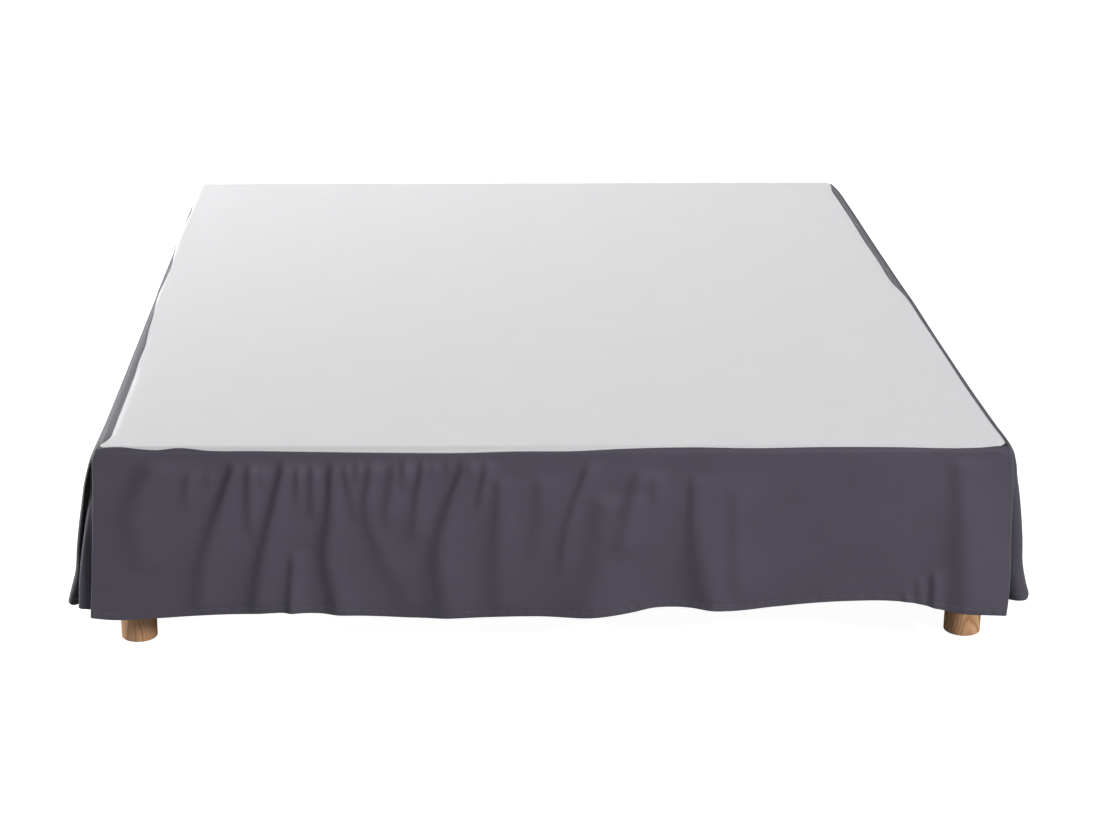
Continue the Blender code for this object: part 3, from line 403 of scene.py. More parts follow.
def crease_relief(creases, p, depth):
    """How far the creases of a drop stand out at each point."""
    relief = np.zeros_like(p)
    for crease in creases:
        line = smooth(LINE_DEPTHS, (crease.a, crease.b, crease.c, crease.d), depth)
        t = ease((depth - crease.start) / (crease.end - crease.start))
        steep = crease.steep * (1 + crease.spread * t)
        high = crease.high + (crease.foot - crease.high) * t
        off = p - line
        rise = ease((depth - crease.start) / CREASE_RISE)
        fall = ease((crease.end - depth) / CREASE_FALL)
        flank = 0.5 * (1 + np.tanh(off / steep))
        past_crest = 0.5 * (off + np.hypot(off, steep))
        relief += high * rise * fall * flank * np.exp(-past_crest / crease.gentle)
    return relief


def fold_relief(folds, p, depth):
    """How far the soft folds of a side drop stand out at each point."""
    relief = np.zeros_like(p)
    for fold in folds:
        fade = FOLD_FADE * (fold.end - fold.start)
        t = (depth - fold.start) / (min(fold.end, FOLD_FOOT) - fold.start)
        off = p - (fold.top + (fold.foot - fold.top) * t + 4 * fold.bend * t * (1 - t))
        flank = np.where(off < 0, fold.left, fold.right) * (
            FLANK_AT_TOP + FLANK_GROWTH * np.clip(t, 0.0, 1.0))
        rise = ease((depth - fold.start) / fade)
        fall = ease((fold.end - depth) / fade)
        relief += fold.height * rise * fall * np.exp(-((off / flank) ** 2))
    return relief


# ---- the rounded edge of the bed ----
def edge_plan(side, p):
    """Place along the side, inset from its plane, and turn of the outline, at cloth distance p."""
    straight = side.half - CORNER_RADIUS
    turn = np.clip(np.abs(p) - straight, 0.0, None) / CORNER_RADIUS
    along = np.sign(p) * (np.minimum(np.abs(p), straight) + CORNER_RADIUS * np.sin(turn))
    return along, CORNER_RADIUS * (1 - np.cos(turn)), np.sign(p) * turn


def over_edge(past):
    """Inset and depth of cloth that has run `past` the start of the rounded edge."""
    angle = np.clip(past / EDGE_RADIUS, 0.0, math.pi / 2)
    inset = EDGE_RADIUS * (1 - np.sin(angle)) + np.clip(-past, 0.0, None)
    depth = EDGE_RADIUS * (1 - np.cos(angle)) + np.clip(past - TURN, 0.0, None)
    return inset, depth


def edge_surface(side, p, past, bulge):
    """Along, out and depth of the cloth on the rounded edge and straight under it."""
    along, inset, turn = edge_plan(side, p)
    back, depth = over_edge(past)
    back = back - bulge
    return along - back * np.sin(turn), -inset - back * np.cos(turn), depth


def in_world(side, along, out, depth):
    """Turn along, out and depth on a side into world coordinates."""
    reach = side.reach + out
    x = side.along[0] * along + side.out[0] * reach
    y = side.along[1] * along + side.out[1] * reach
    return np.stack([x, y, TOP_HEIGHT - depth], axis=-1)


# ---- surfaces of the sheets: cloth distances (p, s) to points ----
# Each gives the length of the cloth from seam to hem at p, and the points at distance s under the seam.
STITCH_UP = 0.012            # stitch line above the hem's edge
STITCH_DENT = 0.00045        # the cloth is drawn in by this much along it
STITCH_DENT_WIDTH = 0.0013
PUCKER_MIDDLE = 0.7 * STITCH_UP


def hem_pucker(p, above_hem):
    """Small draws of the cloth between the stitch line and the hem's edge, and the stitched groove."""
    near = np.exp(-((above_hem - PUCKER_MIDDLE) / PUCKER_MIDDLE) ** 2)
    groove = np.exp(-((above_hem - STITCH_UP) / STITCH_DENT_WIDTH) ** 2)
    return ripple(PUCKERS, p, above_hem) * near - STITCH_DENT * groove


def seam_dip(s):
    """The cloth dips where it turns into its seam."""
    return SEAM_DIP * np.exp(-s / SEAM_DIP_RUN)


class Drop:
    """A sheet that hangs from its seam on a side of the bed."""

    def __init__(self, side, seam, end):
        self.side = side
        self.seam = seam
        self.end = end

    def start(self, p):
        return curve(self.seam, "past", p) + SEAM_GAP / 2

    def length(self, p):
        return TURN + self.hem_depth(p) - EDGE_RADIUS - self.start(p)

    def at(self, p, s):
        past = self.start(p) + s
        bulge = curve(self.seam, "bulge", p)
        along, out, depth = edge_surface(self.side, p, past, bulge)
        along, out = self.hang(p, along, out, depth, bulge)
        out = out + hem_pucker(p, self.length(p) - s) - seam_dip(s)
        return in_world(self.side, along, out, depth)


class FrontDrop(Drop):
    """The front drop hangs straight, and its ends leave the round corners for a flat edge."""

    def __init__(self):
        super().__init__(FRONT, FRONT_SEAM, STRAIGHT_X + CORNER_TURN)

    def hem_depth(self, p):
        return curve(FRONT_HEM, "depth", p)

    def hang(self, p, along, out, depth, bulge):
        half = np.where(p < 0, curve(FRONT_ENDS, "left", depth), curve(FRONT_ENDS, "right", depth))
        reach = ease((np.abs(p) - self.end + FRONT_END_REACH) / FRONT_END_REACH)
        flat_along = p + np.sign(p) * (half - self.end) * reach
        flat_out = curve(FRONT_HEM, "swing", p) * ease(depth / self.hem_depth(p))
        flat_out = flat_out + bulge * (1 - ease(depth / BULGE_FADE))
        flat_out = flat_out + crease_relief(FRONT_CREASES, p, depth) + ripple(RIPPLES, p, depth)
        free = ease((depth - FREE_START) / (FREE_RUN - END_FREE_RUN_LESS * reach))
        free = np.maximum(free, FREE_AT_END * ease(1 - (self.end - np.abs(p)) / CORNER_TURN))
        return along + (flat_along - along) * free, out + (flat_out - out) * free


class SideDrop(Drop):
    """A side drop flares to the plan of its hem. The curl of its front end sets in lower down."""

    def __init__(self, side, plan, flare, folds, depth, tuck, lift_at):
        super().__init__(side, SEAMS[side], STRAIGHT_Y + CORNER_TURN)
        self.plan = plan
        self.flare = flare
        self.folds = folds
        self.depth = depth
        self.tuck = tuck
        self.lift_at = lift_at

    def hem_depth(self, p):
        return self.depth - HEM_LIFT * np.exp(-(((p + self.end - self.lift_at) / HEM_LIFT_RUN) ** 2))

    def hang(self, p, along, out, depth, bulge):
        cloth = p + self.end
        foot_along = curve(self.plan, "behind", cloth) - HALF_LENGTH
        foot_out = curve(self.plan, "out", cloth)
        share = curve(self.flare, "share", depth)
        relief = fold_relief(self.folds, p, depth) + ripple(RIPPLES, p, depth) * share
        near = np.clip(1 - cloth / TUCK_REACH, 0.0, 1.0) ** 2
        drawn = near * ease(depth / TUCK_RISE) * (1 - ease((depth - TUCK_FADE) / TUCK_RUN)) * self.tuck
        along = along + (foot_along - along) * share ** 2 + drawn
        return along, out + (foot_out - out) * share + TUCK_OUT * drawn + relief


class CornerPleat:
    """A corner pleat follows the inner face of the drops at its top and swings out at its hem."""

    def __init__(self, plan, flare, hand):
        self.plan = plan
        self.flare = flare
        self.hand = hand
        self.radius = CORNER_RADIUS - PLEAT_INSET
        self.arc = self.radius * math.pi / 2
        self.front_run = -plan[0].out - CORNER_RADIUS

    def length(self, cloth):
        return np.full_like(cloth, PLEAT_DEPTH - PLEAT_START)

    def at(self, cloth, s):
        depth = PLEAT_START + s
        turn = np.clip(cloth - self.front_run, 0.0, self.arc) / self.radius
        top_out = -CORNER_RADIUS + self.radius * np.sin(turn)
        top_out = top_out - np.clip(self.front_run - cloth, 0.0, None)
        top_behind = CORNER_RADIUS - self.radius * np.cos(turn)
        top_behind = top_behind + np.clip(cloth - self.front_run - self.arc, 0.0, None)
        share = curve(self.flare, "share", depth)
        forward = curve(self.flare, "forward", depth)
        behind = top_behind + (curve(self.plan, "behind", cloth) - top_behind) * forward
        out = top_out + (curve(self.plan, "out", cloth) - top_out) * share
        x = self.hand * (HALF_WIDTH + out)
        y = behind - HALF_LENGTH
        return np.stack([x, y, TOP_HEIGHT - depth], axis=-1)


# ---- meshes of sheets ----
def new_object(name, data):
    """An object of the scene that holds the data, at the origin."""
    made = bpy.data.objects.new(name, data)
    bpy.context.scene.collection.objects.link(made)
    return made


def cloth_object(name, points, faces, uv, mark):
    """A smooth mesh object with the cloth's own coordinates and the mark of its worn edges."""
    mesh = bpy.data.meshes.new(name)
    mesh.from_pydata(points.tolist(), [], faces)
    layer = mesh.uv_layers.new(name="cloth")
    corners = np.empty(len(mesh.loops), int)
    mesh.loops.foreach_get("vertex_index", corners)
    layer.data.foreach_set("uv", uv[corners].astype(np.float32).ravel())
    attribute = mesh.attributes.new("edge", "FLOAT", "POINT")
    attribute.data.foreach_set("value", mark.astype(np.float32))
    mesh.shade_smooth()
    return new_object(name, mesh)


def grid_rows(length):
    """Distances under the seam for every column: fine at the seam and at the hem, even in between."""
    seam = np.array(SEAM_ROWS)[None, :]
    hem = length[:, None] - np.array(HEM_ROWS)[None, :]
    share = np.linspace(0.0, 1.0, MIDDLE_ROWS + 2)[None, 1:-1]
    middle = seam[:, -1:] + (hem[:, :1] - seam[:, -1:]) * share
    return np.concatenate([np.repeat(seam, len(length), 0), middle, hem], axis=1)


def grid_faces(index):
    """Faces between the points of a grid, from the grid of their numbers."""
    return np.stack([index[:-1, :-1], index[1:, :-1], index[1:, 1:], index[:-1, 1:]], -1).reshape(-1, 4)


def unit(vectors):
    """Vectors of length 1 in the same directions."""
    return vectors / np.maximum(np.linalg.norm(vectors, axis=-1, keepdims=True), 1e-12)


def sheet_object(name, points, cloth_uv, thick, turned):
    """Closed sheet from an outer grid: inner grid, and a soft rounded rim along its four edges."""
    normals = np.cross(np.gradient(points, axis=0), np.gradient(points, axis=1))
    normals = normals / np.linalg.norm(normals, axis=-1, keepdims=True) * (1 if turned else -1)
    inner = points + thick[..., None] * normals
    index = np.arange(thick.size).reshape(thick.shape)
    outer_faces = grid_faces(index)

    def ring(grid):
        return np.concatenate([grid[:, 0], grid[-1, 1:], grid[-2::-1, -1], grid[0, -2:0:-1]])

    border = ring(index)
    ways = np.concatenate([
        points[:, 0] - points[:, 1],
        points[-1, 1:] - points[-2, 1:],
        points[-2::-1, -1] - points[-2::-1, -2],
        points[0, -2:0:-1] - points[1, -2:0:-1],
    ])
    middle = (ring(points) + ring(inner)) / 2 + RIM_ROUND * ring(thick)[:, None] * unit(ways)
    inner_border = index.size + border
    rim = 2 * index.size + np.arange(len(border))
    after = np.roll(np.arange(len(border)), -1)
    faces = np.concatenate([
        outer_faces,
        index.size + outer_faces[:, ::-1],
        np.stack([border[after], border, rim, rim[after]], -1),
        np.stack([rim[after], rim, inner_border, inner_border[after]], -1),
    ])
    if turned:
        faces = faces[:, ::-1]
    outer_mark = np.zeros(thick.shape)
    outer_mark[0] = outer_mark[-1] = outer_mark[:, -1] = 1.0
    flat = cloth_uv.reshape(-1, 2)
    return cloth_object(
        name,
        np.concatenate([points.reshape(-1, 3), inner.reshape(-1, 3), middle]),
        faces.tolist(),
        np.concatenate([flat, flat, ring(cloth_uv)]),
        np.concatenate([outer_mark.ravel(), np.zeros(index.size), np.ones(len(border))]))


def hem_thickness(above_hem, from_start, from_end, side_hems):
    """One layer of cloth, and the turned hem at the foot and at the two ends."""
    nearest = above_hem
    if side_hems:
        nearest = np.minimum(nearest, np.minimum(from_start, from_end))
    return CLOTH + (HEM_CLOTH - CLOTH) * ease((HEM_WIDTH + HEM_STEP / 2 - nearest) / HEM_STEP)


def drop_columns(straight):
    """Places along a side, evenly spaced, with the two half corners."""
    middle = np.linspace(-straight, straight, DROP_COLUMNS)
    corner = np.linspace(0.0, CORNER_TURN, CORNER_COLUMNS + 1)[1:]
    columns = np.concatenate([middle[0] - corner[::-1], middle, middle[-1] + corner])
    columns[0] += SEAM_GAP / 2
    columns[-1] -= SEAM_GAP / 2
    return columns


def hung_sheet(name, surface, columns, turned, uv_start=0.0, side_hems=True):
    """The whole sheet of a drop or a corner pleat, with a column of points at each place given."""
    length = surface.length(columns)
    s = grid_rows(length)
    p = np.repeat(columns[:, None], s.shape[1], 1)
    thick = hem_thickness(length[:, None] - s, p - columns[0], columns[-1] - p, side_hems)
    uv = np.stack([p + uv_start, -s], -1)
    return sheet_object(name, surface.at(p, s), uv, thick, turned)


# ---- platform ----
# Wrinkle of the lining: a short soft ridge from (x, y) to (x2, y2).
Wrinkle = namedtuple("Wrinkle", "x y x2 y2 width height")

WRINKLES = table(
    Wrinkle,
    (-0.775, -0.785, -0.75, -0.89, 0.012, 0.0016), (-0.752, -0.775, -0.738, -0.86, 0.014, 0.0008),
    (0.69, 0.892, 0.775, 0.9, 0.01, 0.0012), (0.64, 0.93, 0.77, 0.945, 0.016, 0.0006),
)
LINING_WAVES = table(
    Ripple,
    (0.61, 0.83, 0.9, 0.00035), (0.37, -0.52, 2.7, 0.00022), (0.19, 0.33, 4.1, 0.0001),
)
WRINKLE_END = 1.2            # where a wrinkle has died out, in lengths from its middle
FLAT_MARGIN = 0.05           # the lining lies flat this near its border


def platform_relief(x, y):
    """Soft wrinkles and long low waves of the lining, none lower than the base lets it lie."""
    height = np.zeros_like(x)
    for row in WRINKLES:
        run = np.array([row.x2 - row.x, row.y2 - row.y])
        t = ((x - row.x) * run[0] + (y - row.y) * run[1]) / (run @ run)
        off = np.hypot(x - row.x - run[0] * np.clip(t, 0, 1), y - row.y - run[1] * np.clip(t, 0, 1))
        height += row.height * np.exp(-((off / row.width) ** 2)) * ease(WRINKLE_END - np.abs(t - 0.5))
    inside = ease((STRAIGHT_X - np.abs(x)) / FLAT_MARGIN) * ease((STRAIGHT_Y - np.abs(y)) / FLAT_MARGIN)
    return (height + np.abs(ripple(LINING_WAVES, x, y))) * inside


def platform_border(side, places, way):
    """The lining's strip along one side and half of each corner: its points and their flat places."""
    corner = np.linspace(0.0, CORNER_TURN, CORNER_COLUMNS // 2 + 1)[1:]
    first = np.concatenate([places[0] - way * corner[::-1], places, places[-1] + way * corner[:-1]])
    if side is HEAD:
        near = ease((STRAIGHT_X + CORNER_TURN - np.abs(first)) / CORNER_TURN)
        ends = np.where(first < 0, LEFT_SEAM[-1].past, RIGHT_SEAM[-1].past)
        past = ends + (TURN + HEAD_FLAP - ends) * near
        bulge = np.zeros_like(first)
    else:
        past = curve(SEAMS[side], "past", first) - SEAM_GAP / 2
        bulge = curve(SEAMS[side], "bulge", first)
    lead = EDGE_RADIUS - CORNER_RADIUS
    shares = np.linspace(0.0, 1.0, BORDER_ROWS + 1)[1:] ** BORDER_SPACING
    run = lead + (past[:, None] - lead) * shares[None, :]
    p = np.repeat(first[:, None], len(shares), 1)
    along, out, depth = edge_surface(side, p, run, bulge[:, None] * ease((run - lead) / (-lead)))
    if side is not HEAD:
        dip = seam_dip(past[:, None] - run)
        angle = np.clip(run / EDGE_RADIUS, 0.0, math.pi / 2)
        out = out - dip * np.sin(angle)
        depth = depth + dip * np.cos(angle)
    flat = in_world(side, np.clip(p, -places.max(), places.max()), run, depth)[..., :2]
    return in_world(side, along, out, depth), flat


def platform_object():
    """The lining that lies on the base, as a rectangular grid and a border that turns over the edge."""
    xs = np.linspace(-STRAIGHT_X, STRAIGHT_X, PLATFORM_X + 1)
    ys = np.linspace(-STRAIGHT_Y, STRAIGHT_Y, PLATFORM_Y + 1)
    flat = np.stack(np.meshgrid(xs, ys, indexing="ij"), -1)
    index = np.arange(len(xs) * len(ys)).reshape(len(xs), len(ys))
    half = CORNER_COLUMNS // 2
    anchors, borders, cloths = [], [], []
    for side, places, base, way in (
            (FRONT, xs, index[:, 0], 1),
            (RIGHT, ys, index[-1, :], 1),
            (HEAD, xs[::-1], index[::-1, -1], -1),
            (LEFT, ys[::-1], index[0, ::-1], -1)):
        border, cloth = platform_border(side, places, way)
        anchors.append(np.pad(base, (half, half - 1), mode="edge"))
        borders.append(border)
        cloths.append(cloth)
    border = np.concatenate(borders)
    anchor = np.concatenate(anchors).tolist()
    height = platform_relief(flat[..., 0], flat[..., 1])
    top = np.concatenate([flat, (TOP_HEIGHT + height)[..., None]], -1).reshape(-1, 3)
    points = np.concatenate([top, border.reshape(-1, 3)])
    uv = np.concatenate([flat.reshape(-1, 2), np.concatenate(cloths).reshape(-1, 2)])
    count, rows = border.shape[:2]
    numbers = len(top) + np.arange(count * rows).reshape(count, rows)
    ring = numbers.tolist()
    faces = grid_faces(index).tolist()
    for a in range(count):
        b = (a + 1) % count
        if anchor[a] == anchor[b]:
            faces.append((anchor[a], ring[a][0], ring[b][0]))
        else:
            faces.append((anchor[a], ring[a][0], ring[b][0], anchor[b]))
        for row in range(rows - 1):
            faces.append((ring[a][row], ring[a][row + 1], ring[b][row + 1], ring[b][row]))
    mark = np.zeros(len(points))
    mark[numbers[:, -1]] = 1.0
    return lined_object("platform_lining", points, faces, uv, mark, numbers[:, -1])


def lined_object(name, points, faces, uv, mark, rim):
    """Give an outer surface its inner face and rim, along its own normals."""
    mesh = bpy.data.meshes.new(name + "_face")
    mesh.from_pydata(points.tolist(), [], faces)
    normals = np.empty(len(points) * 3)
    mesh.vertex_normals.foreach_get("vector", normals)
    bpy.data.meshes.remove(mesh)
    inner = points - LINING * normals.reshape(-1, 3)
    count = len(points)
    all_faces = list(faces) + [tuple(count + k for k in reversed(face)) for face in faces]
    for a, b in zip(rim.tolist(), np.roll(rim, -1).tolist()):
        all_faces.append((a, count + a, count + b, b))
    return cloth_object(name, np.concatenate([points, inner]), all_faces, np.concatenate([uv, uv]),
                        np.concatenate([mark, mark]))


# ---- stitches ----
STITCH_LENGTH = 0.0031
STITCH_PITCH = 0.0043
STITCH_WIDTH = 0.00055
STITCH_HIGH = 0.00032
STITCH_SHARES = (0.0, 0.18, 0.82, 1.0)   # rings of points along a stitch, and how thick they are
STITCH_SIZES = (0.3, 1.0, 1.0, 0.3)
STITCH_SIDES = 5
STITCH_MARGIN = 0.004                    # the rows stop this far from the ends of the cloth
STITCH_LIFT = 0.0001                     # the threads lie this far over the cloth
THREAD_STEP = 0.0005                     # small steps that show which way the thread runs
CLOTH_STEP = 0.0008                      # and how the cloth lies


def hem_place(drop, turned, p):
    """Points of a drop's stitch line, and the outward normals there."""
    s = drop.length(p) - STITCH_UP
    centre = drop.at(p, s)
    aside = p + CLOTH_STEP
    run = drop.at(aside, drop.length(aside) - STITCH_UP) - centre
    down = drop.at(p, s + CLOTH_STEP) - centre
    normal = unit(np.cross(run, down)) * (-1 if turned else 1)
    return centre + STITCH_LIFT * normal, normal


def hem_stitches(name, drop, turned):
    """A row of short threads lying on a drop, along its hem."""
    starts = np.arange(STITCH_MARGIN - drop.end, drop.end - STITCH_MARGIN - STITCH_LENGTH, STITCH_PITCH)
    around = np.arange(STITCH_SIDES) * 2 * math.pi / STITCH_SIDES
    rings = []
    for share, size in zip(STITCH_SHARES, STITCH_SIZES):
        centre, normal = hem_place(drop, turned, starts + share * STITCH_LENGTH)
        ahead, _ = hem_place(drop, turned, starts + share * STITCH_LENGTH + THREAD_STEP)
        across = unit(np.cross(normal, unit(ahead - centre)))
        rings.append(
            centre[:, None, :]
            + across[:, None, :] * (size * STITCH_WIDTH * np.cos(around))[None, :, None]
            + normal[:, None, :] * (size * STITCH_HIGH * (0.5 + np.sin(around)))[None, :, None])
    faces = []
    for n in range(len(starts)):
        first = n * len(rings) * STITCH_SIDES
        last = first + (len(rings) - 1) * STITCH_SIDES
        for a in range(first, last, STITCH_SIDES):
            for k in range(STITCH_SIDES):
                b = a + (k + 1) % STITCH_SIDES
                faces.append((a + k, b, b + STITCH_SIDES, a + k + STITCH_SIDES))
        faces.append(tuple(first + k for k in reversed(range(STITCH_SIDES))))
        faces.append(tuple(last + k for k in range(STITCH_SIDES)))
    mesh = bpy.data.meshes.new(name)
    mesh.from_pydata(np.stack(rings, 1).reshape(-1, 3).tolist(), [], faces)
    mesh.shade_smooth()
    shape = bmesh.new()
    shape.from_mesh(mesh)
    bmesh.ops.recalc_face_normals(shape, faces=shape.faces)
    shape.to_mesh(mesh)
    shape.free()
    return new_object(name, mesh)


# ---- shader groups and materials ----
FLOAT = "NodeSocketFloat"
VECTOR = "NodeSocketVector"


def new_group(name, inputs, outputs):
    """A shader node group. Inputs are (name, kind, value), outputs are names of float sockets."""
    group = bpy.data.node_groups.new(name, "ShaderNodeTree")
    for socket, kind, value in inputs:
        made = group.interface.new_socket(socket, in_out="INPUT", socket_type=kind)
        if value is not None:
            made.default_value = value
    for socket in outputs:
        group.interface.new_socket(socket, in_out="OUTPUT", socket_type=FLOAT)
    return group, group.nodes.new("NodeGroupInput").outputs, group.nodes.new("NodeGroupOutput")


def feed(tree, socket, value):
    """Link a socket to another one, or set it to a plain value."""
    if isinstance(value, bpy.types.NodeSocket):
        tree.links.new(value, socket)
    else:
        socket.default_value = value


def feed_all(tree, target, **inputs):
    """Link or set a node's inputs by name, with spaces as underscores, or by number, as i0 and i1."""
    for key, value in inputs.items():
        numbered = key[0] == "i" and key[1:].isdigit()
        feed(tree, target.inputs[int(key[1:]) if numbered else key.replace("_", " ")], value)


def node(tree, kind, settings=None, **inputs):
    """Add a node, set its properties, and feed its inputs."""
    made = tree.nodes.new(kind)
    for key, value in (settings or {}).items():
        setattr(made, key, value)
    feed_all(tree, made, **inputs)
    return made


def maths(tree, operation, a, b=None):
    """One sum on sockets or plain numbers."""
    inputs = {"i0": a} if b is None else {"i0": a, "i1": b}
    return node(tree, "ShaderNodeMath", {"operation": operation}, **inputs).outputs[0]


def blend(tree, a, b, share):
    """Sum of two masks, the first by its share and the second by what is left."""
    return maths(tree, "ADD", maths(tree, "MULTIPLY", a, share), maths(tree, "MULTIPLY", b, 1.0 - share))


def split(tree, place):
    """The X, Y and Z of a place."""
    return node(tree, "ShaderNodeSeparateXYZ", Vector=place).outputs


def stretch(tree, place, scale):
    """A place with its three axes scaled."""
    return node(tree, "ShaderNodeMapping", Vector=place, Scale=scale).outputs[0]


def noise(tree, place, detail, scale=1.0, **inputs):
    """Cloudy noise."""
    made = node(tree, "ShaderNodeTexNoise", Vector=place, Scale=scale, Detail=detail, **inputs)
    return made.outputs["Fac"]


def ranged(tree, value, soft=False, **ends):
    """A value moved from one range to another and held between the new ends."""
    settings = {"interpolation_type": "SMOOTHSTEP"} if soft else None
    return node(tree, "ShaderNodeMapRange", settings, Value=value, **ends).outputs["Result"]


SLUB_SCALES = ((420.0, 26.0, 1.0), (30.0, 460.0, 1.0))   # slubs of the threads across and along


def weave_group():
    """Plain weave: height of the crossing threads, and the uneven tone of their slubs."""
    group, start, end = new_group(
        "plain_weave",
        (("Vector", VECTOR, None), ("Threads", FLOAT, 1800.0), ("Slub", FLOAT, 0.5)),
        ("Height", "Tone"))
    axes = split(group, start["Vector"])
    threads = maths(group, "MULTIPLY", start["Threads"], math.pi)
    across = maths(group, "SINE", maths(group, "MULTIPLY", axes["X"], threads))
    along = maths(group, "SINE", maths(group, "MULTIPLY", axes["Y"], threads))
    tones = [noise(group, stretch(group, start["Vector"], scale), detail=2.0, Roughness=0.5)
             for scale in SLUB_SCALES]
    tone = maths(group, "MULTIPLY", maths(group, "ADD", tones[0], tones[1]), 0.5)
    raised = maths(group, "MULTIPLY", maths(group, "MULTIPLY", across, along), 0.5)
    slubs = maths(group, "MULTIPLY", tone, start["Slub"])
    feed_all(group, end, Height=maths(group, "ADD", raised, slubs), Tone=tone)
    return group


def mottle_group():
    """Broad soft unevenness of dye, dust or age, from 0 to 1."""
    group, start, end = new_group(
        "soft_mottle", (("Vector", VECTOR, None), ("Scale", FLOAT, 9.0)), ("Mask",))
    cloudy = noise(group, start["Vector"], detail=3.0, scale=start["Scale"], Roughness=0.55)
    feed_all(group, end, Mask=ranged(group, cloudy, From_Min=0.3, From_Max=0.7))
    return group


def painted_shade_group():
    """Painted shade mask: 1 at the front end of a cloth's coordinates, where the cloth is painted dark
    to stand in for the shade in the corner recesses, fading to 0 over a run.
    """
    group, start, end = new_group(
        "painted_end_shade", (("Vector", VECTOR, None), ("Start", FLOAT, 0.0), ("Run", FLOAT, 0.1)),
        ("Mask",))
    into = maths(group, "SUBTRACT", split(group, start["Vector"])["X"], start["Start"])
    share = maths(group, "DIVIDE", into, start["Run"])
    feed_all(group, end, Mask=ranged(group, share, soft=True, To_Min=1.0, To_Max=0.0))
    return group


OAK_GRAIN = (1.0, 1.0, 0.22)             # the grain is drawn out along the leg
OAK_BEND = 0.02                          # how far the growth rings wander
OAK_PORES = (1500.0, 1500.0, 60.0)
OAK_TONES = (60.0, 60.0, 8.0)


def oak_group():
    """Oak: growth rings cut along the grain, fine pores and a broad change of tone."""
    group, start, end = new_group(
        "oak_grain", (("Vector", VECTOR, None), ("Rings", FLOAT, 230.0)), ("Ring", "Pore", "Tone"))
    place = start["Vector"]
    long_way = stretch(group, place, OAK_GRAIN)
    bend = node(group, "ShaderNodeTexNoise", Vector=long_way, Scale=26.0, Detail=2.0)
    offset = node(group, "ShaderNodeVectorMath", {"operation": "SCALE"}, i0=bend.outputs["Color"],
                  Scale=OAK_BEND)
    bent = node(group, "ShaderNodeVectorMath", {"operation": "ADD"}, i0=long_way, i1=offset.outputs[0])
    axes = split(group, bent.outputs[0])
    radius = maths(group, "SQRT", maths(group, "ADD",
                                        maths(group, "MULTIPLY", axes["X"], axes["X"]),
                                        maths(group, "MULTIPLY", axes["Y"], axes["Y"])))
    phase = maths(group, "FRACT", maths(group, "MULTIPLY", radius, start["Rings"]))
    pores = noise(group, stretch(group, place, OAK_PORES), detail=1.0)
    feed_all(
        group, end,
        Ring=ranged(group, phase, soft=True, From_Min=0.25, From_Max=0.95),
        Pore=ranged(group, pores, From_Min=0.56, From_Max=0.72),
        Tone=noise(group, stretch(group, place, OAK_TONES), detail=2.0))
    return group


WEAVE = weave_group()
MOTTLE = mottle_group()
PAINTED_SHADE_GROUP = painted_shade_group()
OAK = oak_group()


def place_group(tree, group, **inputs):
    """Place a shader group in a material, and give its outputs."""
    return node(tree, "ShaderNodeGroup", {"node_tree": group}, **inputs).outputs


def mix_colour(tree, share, a, b):
    """Colour a where the share is 0 and b where it is 1."""
    a, b = (c if isinstance(c, bpy.types.NodeSocket) else (*c, 1.0) for c in (a, b))
    return node(tree, "ShaderNodeMix", {"data_type": "RGBA"}, Factor=share, i6=a, i7=b).outputs[2]


def new_material(name, **shader):
    """A material with its own Principled shader and plain values on its sockets."""
    material = bpy.data.materials.new(name)
    material.use_nodes = True
    feed_all(material.node_tree, material.node_tree.nodes["Principled BSDF"], **shader)
    return material, material.node_tree


def surface(tree, colour, height=None, strength=1.0, distance=0.0):
    """Lead a colour, and a bump if a height is given, into the material's shader."""
    shader = tree.nodes["Principled BSDF"]
    feed_all(tree, shader, Base_Color=colour)
    if height is not None:
        bump = node(tree, "ShaderNodeBump", Height=height, Strength=strength, Distance=distance)
        feed_all(tree, shader, Normal=bump.outputs["Normal"])


def object_place(tree):
    """Places in the object's own coordinates."""
    return node(tree, "ShaderNodeTexCoord").outputs["Object"]


# sheltered is the colour painted where the corner recesses lie in shade.
Cloth = namedtuple("Cloth", "dark light worn sheltered threads slub bump")
# Painted shade: the cloth is painted dark from this start on its cloth coordinates, and the shade fades
# out over the run.
PAINTED_SHADE_START = -(STRAIGHT_Y + CORNER_TURN)   # front end of a side drop, on its cloth coordinates
PAINTED_SHADE_RUN = 0.085
WEAR_EVEN = 0.2                          # wear of an edge where its threads lie low
TICKING_DARK = (0.5, 0.5, 0.51)
TICKING_PALE = (0.6, 0.6, 0.6)
THREAD_SHADE = 0.7                       # dark tone of a twisted thread, as a share of the pale one
OAK_EARLY_DARK = (0.62, 0.345, 0.18)     # wood that grew in spring
OAK_EARLY_PALE = (0.74, 0.44, 0.245)
OAK_LATE = (0.46, 0.235, 0.115)          # and in autumn
OAK_PORE = (0.3, 0.14, 0.06)
OAK_PORE_SHARE = 0.45


